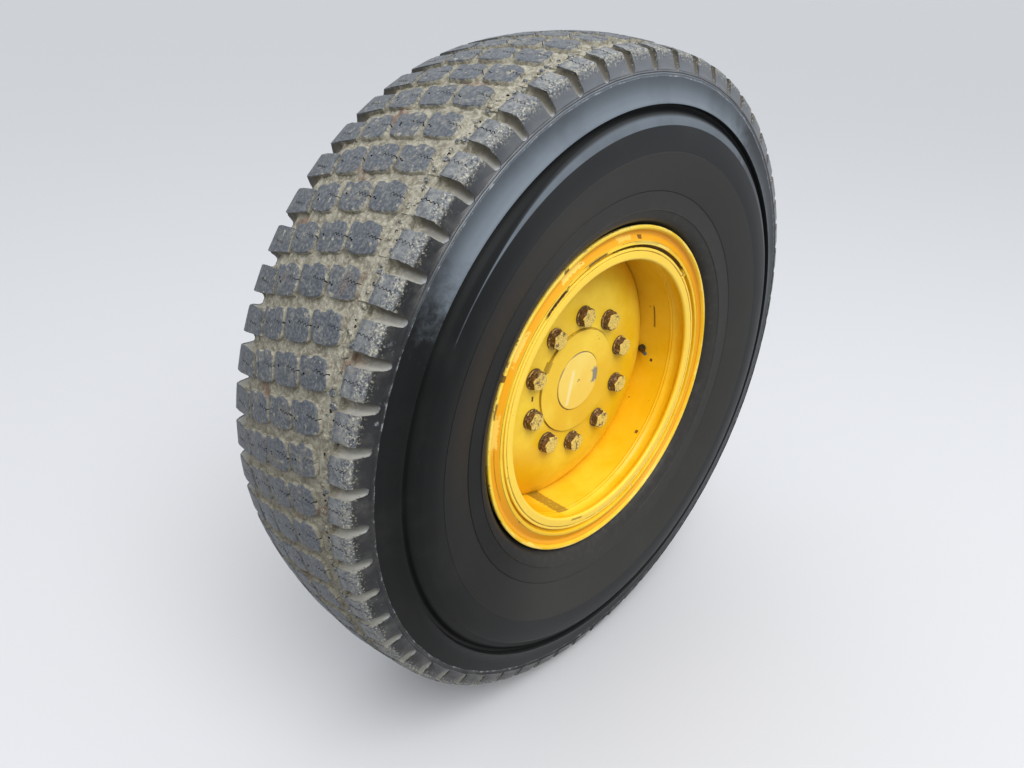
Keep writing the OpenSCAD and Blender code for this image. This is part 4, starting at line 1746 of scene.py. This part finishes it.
    def build(self) -> None:
        """Builds and dresses the spindle, its cap, the bolts and the washers."""
        marks = (Mark(-25, 60, 112.2, 0.7, 0.6), Mark(-57, 6, 109.5, 3.0, 0.45))
        cast = EnamelFinish("spindle_enamel", faded_and_lit=(0.95, 0.67, 0.065), marks=marks,
                            rings=((64.4, 0.6, 0.8), (112.6, 0.5, 0.7))).material()
        lid_marks = (Mark(92, 17, 55.5, 10.5, 0.95, True, 2.6),)
        lid = EnamelFinish("cap_enamel", enamel=(0.91, 0.60, 0.08), faded_and_lit=(0.95, 0.72, 0.17),
                           dirt_and_shade=(0.25, 0.235, 0.19), chip_share=0.80, marks=lid_marks,
                           rings=((2.4, 2.0, 1.0), (63.0, 0.5, 0.8)), streak=True).material()
        ground = SteelFinish("spindle_steel").material()
        heads = BoltFinish("bolt_steel", paint_from=0.62).material()
        plates = BoltFinish("washer_steel", paint_from=0.95).material()
        dress(self.body(), [cast, ground], Slot.CAST, Body.WHEEL, "spindle")
        dress(self.cap(), [lid], Slot.CAST, Body.WHEEL, "spindle_cap")
        bolts = self.around("wheel_bolts_fine", self.bolt(), True)
        dress(bolts, [heads], Slot.RUSTY, Body.WHEEL, "wheel_bolts")
        washers = self.around("washers_fine", self.washer(), False)
        dress(washers, [plates], Slot.RUSTY, Body.WHEEL, "washers")


@dataclass
class Running:
    """The CAD pieces that keep their shape: housing, seal carrier, bearings, nut, plugs, valve."""

    def build(self) -> None:
        """Gives each CAD node its finish."""
        cast = EnamelFinish("housing_enamel", chip_share=0.66).material()
        steel = SteelFinish("bearing_steel").material()
        dull = SteelFinish("valve_steel", (0.13, 0.12, 0.11), (0.04, 0.03, 0.025), 0.5).material()
        for name in ("housing", "seal_carrier"):
            self.paint(name, cast, Slot.CAST)
        for name in ("outer_bearing", "inner_bearing", "bearing_nut", "drain_plugs"):
            self.paint(name, steel, Slot.BRIGHT)
        self.paint("valve", dull, Slot.BRIGHT)

    def paint(self, name: str, material: Material, slot: Slot) -> None:
        """Replaces the material of one CAD node.

        Args:
            name: Name of the node.
            material: Its new material.
            slot: Not used.
        """
        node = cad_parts[name]
        node.data.materials.clear()
        node.data.materials.append(material)
        LOG.info("%s: CAD node", name)


# Studio


@dataclass
class Studio:
    """Pale floor, plain soft light and the camera at the photograph's viewing angle."""

    floor_height: float
    floor_half: float = 150000.0
    floor: Colour = (0.54, 0.54, 0.545)
    bounce: Colour = (0.26, 0.26, 0.26)
    zenith: Colour = (1.22, 1.26, 1.32)
    horizon: Colour = (0.42, 0.44, 0.47)
    backdrop: Colour = (0.620, 0.642, 0.678)
    lamp_place: Corner = (-1.2, -3.2, 4.2)
    lamp_aim: Corner = (1.2, 3.0, -4.2)
    lamp_size: float = 3.6
    lamp_power: float = 215.0
    lens: float = 26.895
    location: Corner = (-1.12047, -1.16151, 0.72836)
    azimuth: float = 46.579
    elevation: float = -27.654
    roll: float = 1.732

    def build(self) -> None:
        """Makes the floor, the sky, the lamp and the camera."""
        self.make_floor()
        self.make_sky()
        self.make_lamp()
        self.make_camera()
        bpy.context.scene.view_settings.view_transform = "Standard"

    def make_floor(self) -> None:
        """A broad plain floor under the tyre, pale to the eye."""
        bm = bmesh.new()
        bmesh.ops.create_grid(bm, x_segments=4, y_segments=4, size=self.floor_half)
        bmesh.ops.translate(bm, vec=(0, 0, self.floor_height / MM), verts=bm.verts)
        ground = finished(bm, "floor")
        made, g = new_material("floor")
        seen = g.value("LightPath", "Is Camera Ray") | g.value("LightPath", "Is Glossy Ray")
        g.shade(Base_Color=g.blend(seen, self.bounce, self.floor), Roughness=0.9)
        ground.data.materials.append(made)

    def make_sky(self) -> None:
        """Even cloud, brighter overhead."""
        world = bpy.data.worlds.new("overcast")
        bpy.context.scene.world = world
        world.use_nodes = True
        world.node_tree.nodes.clear()
        g = Graph(world.node_tree)
        up = g.values("SeparateXYZ", None, Vector=g.value("TexCoord", "Generated"))[2]
        sky = g.blend(up.step(-0.05, 0.75), self.horizon, self.zenith)
        shown = g.value("Background", 0, Color=sky, Strength=1.0)
        pale = g.value("Background", 0, Color=(*self.backdrop, 1), Strength=1.0)
        ray = g.value("LightPath", "Is Camera Ray")
        g.node("OutputWorld", None, Surface=g.value("MixShader", 0, i0=ray, i1=shown, i2=pale))

    def make_lamp(self) -> None:
        """One broad lamp high on the outer side."""
        data = bpy.data.lights.new("soft_lamp", "AREA")
        data.shape = "DISK"
        data.size = self.lamp_size
        data.energy = self.lamp_power
        lamp = bpy.data.objects.new("soft_lamp", data)
        lamp.location = self.lamp_place
        lamp.rotation_euler = Vector(self.lamp_aim).to_track_quat("-Z", "Y").to_euler()
        bpy.context.scene.collection.objects.link(lamp)

    def make_camera(self) -> None:
        """The camera, as fitted to the photograph."""
        az, el, roll = (math.radians(v) for v in (self.azimuth, self.elevation, self.roll))
        ahead = Vector((math.sin(az) * math.cos(el), math.cos(az) * math.cos(el), math.sin(el)))
        right = ahead.cross(Vector((0, 0, 1))).normalized()
        up = right.cross(ahead)
        across = right * math.cos(roll) + up * math.sin(roll)
        upright = -right * math.sin(roll) + up * math.cos(roll)
        data = bpy.data.cameras.new("camera")
        data.sensor_width = 36.0
        data.lens = self.lens
        data.clip_start, data.clip_end = 0.01, 500.0
        made = bpy.data.objects.new("camera", data)
        turn = Matrix((across, upright, -ahead)).transposed().to_4x4()
        made.matrix_world = Matrix.Translation(self.location) @ turn
        bpy.context.scene.collection.objects.link(made)
        bpy.context.scene.camera = made


def main() -> None:
    """Builds every sub-assembly in order."""
    logging.basicConfig(level=logging.INFO, format="%(name)s %(message)s")
    low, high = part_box("tyre")
    middle = (low.y + high.y) / 2 / MM
    Tyre(middle).build()
    Rim(middle).build()
    Disc(middle).build()
    Spindle(middle).build()
    Running().build()
    Studio(low.z).build()


if __name__ == "__main__":
    main()
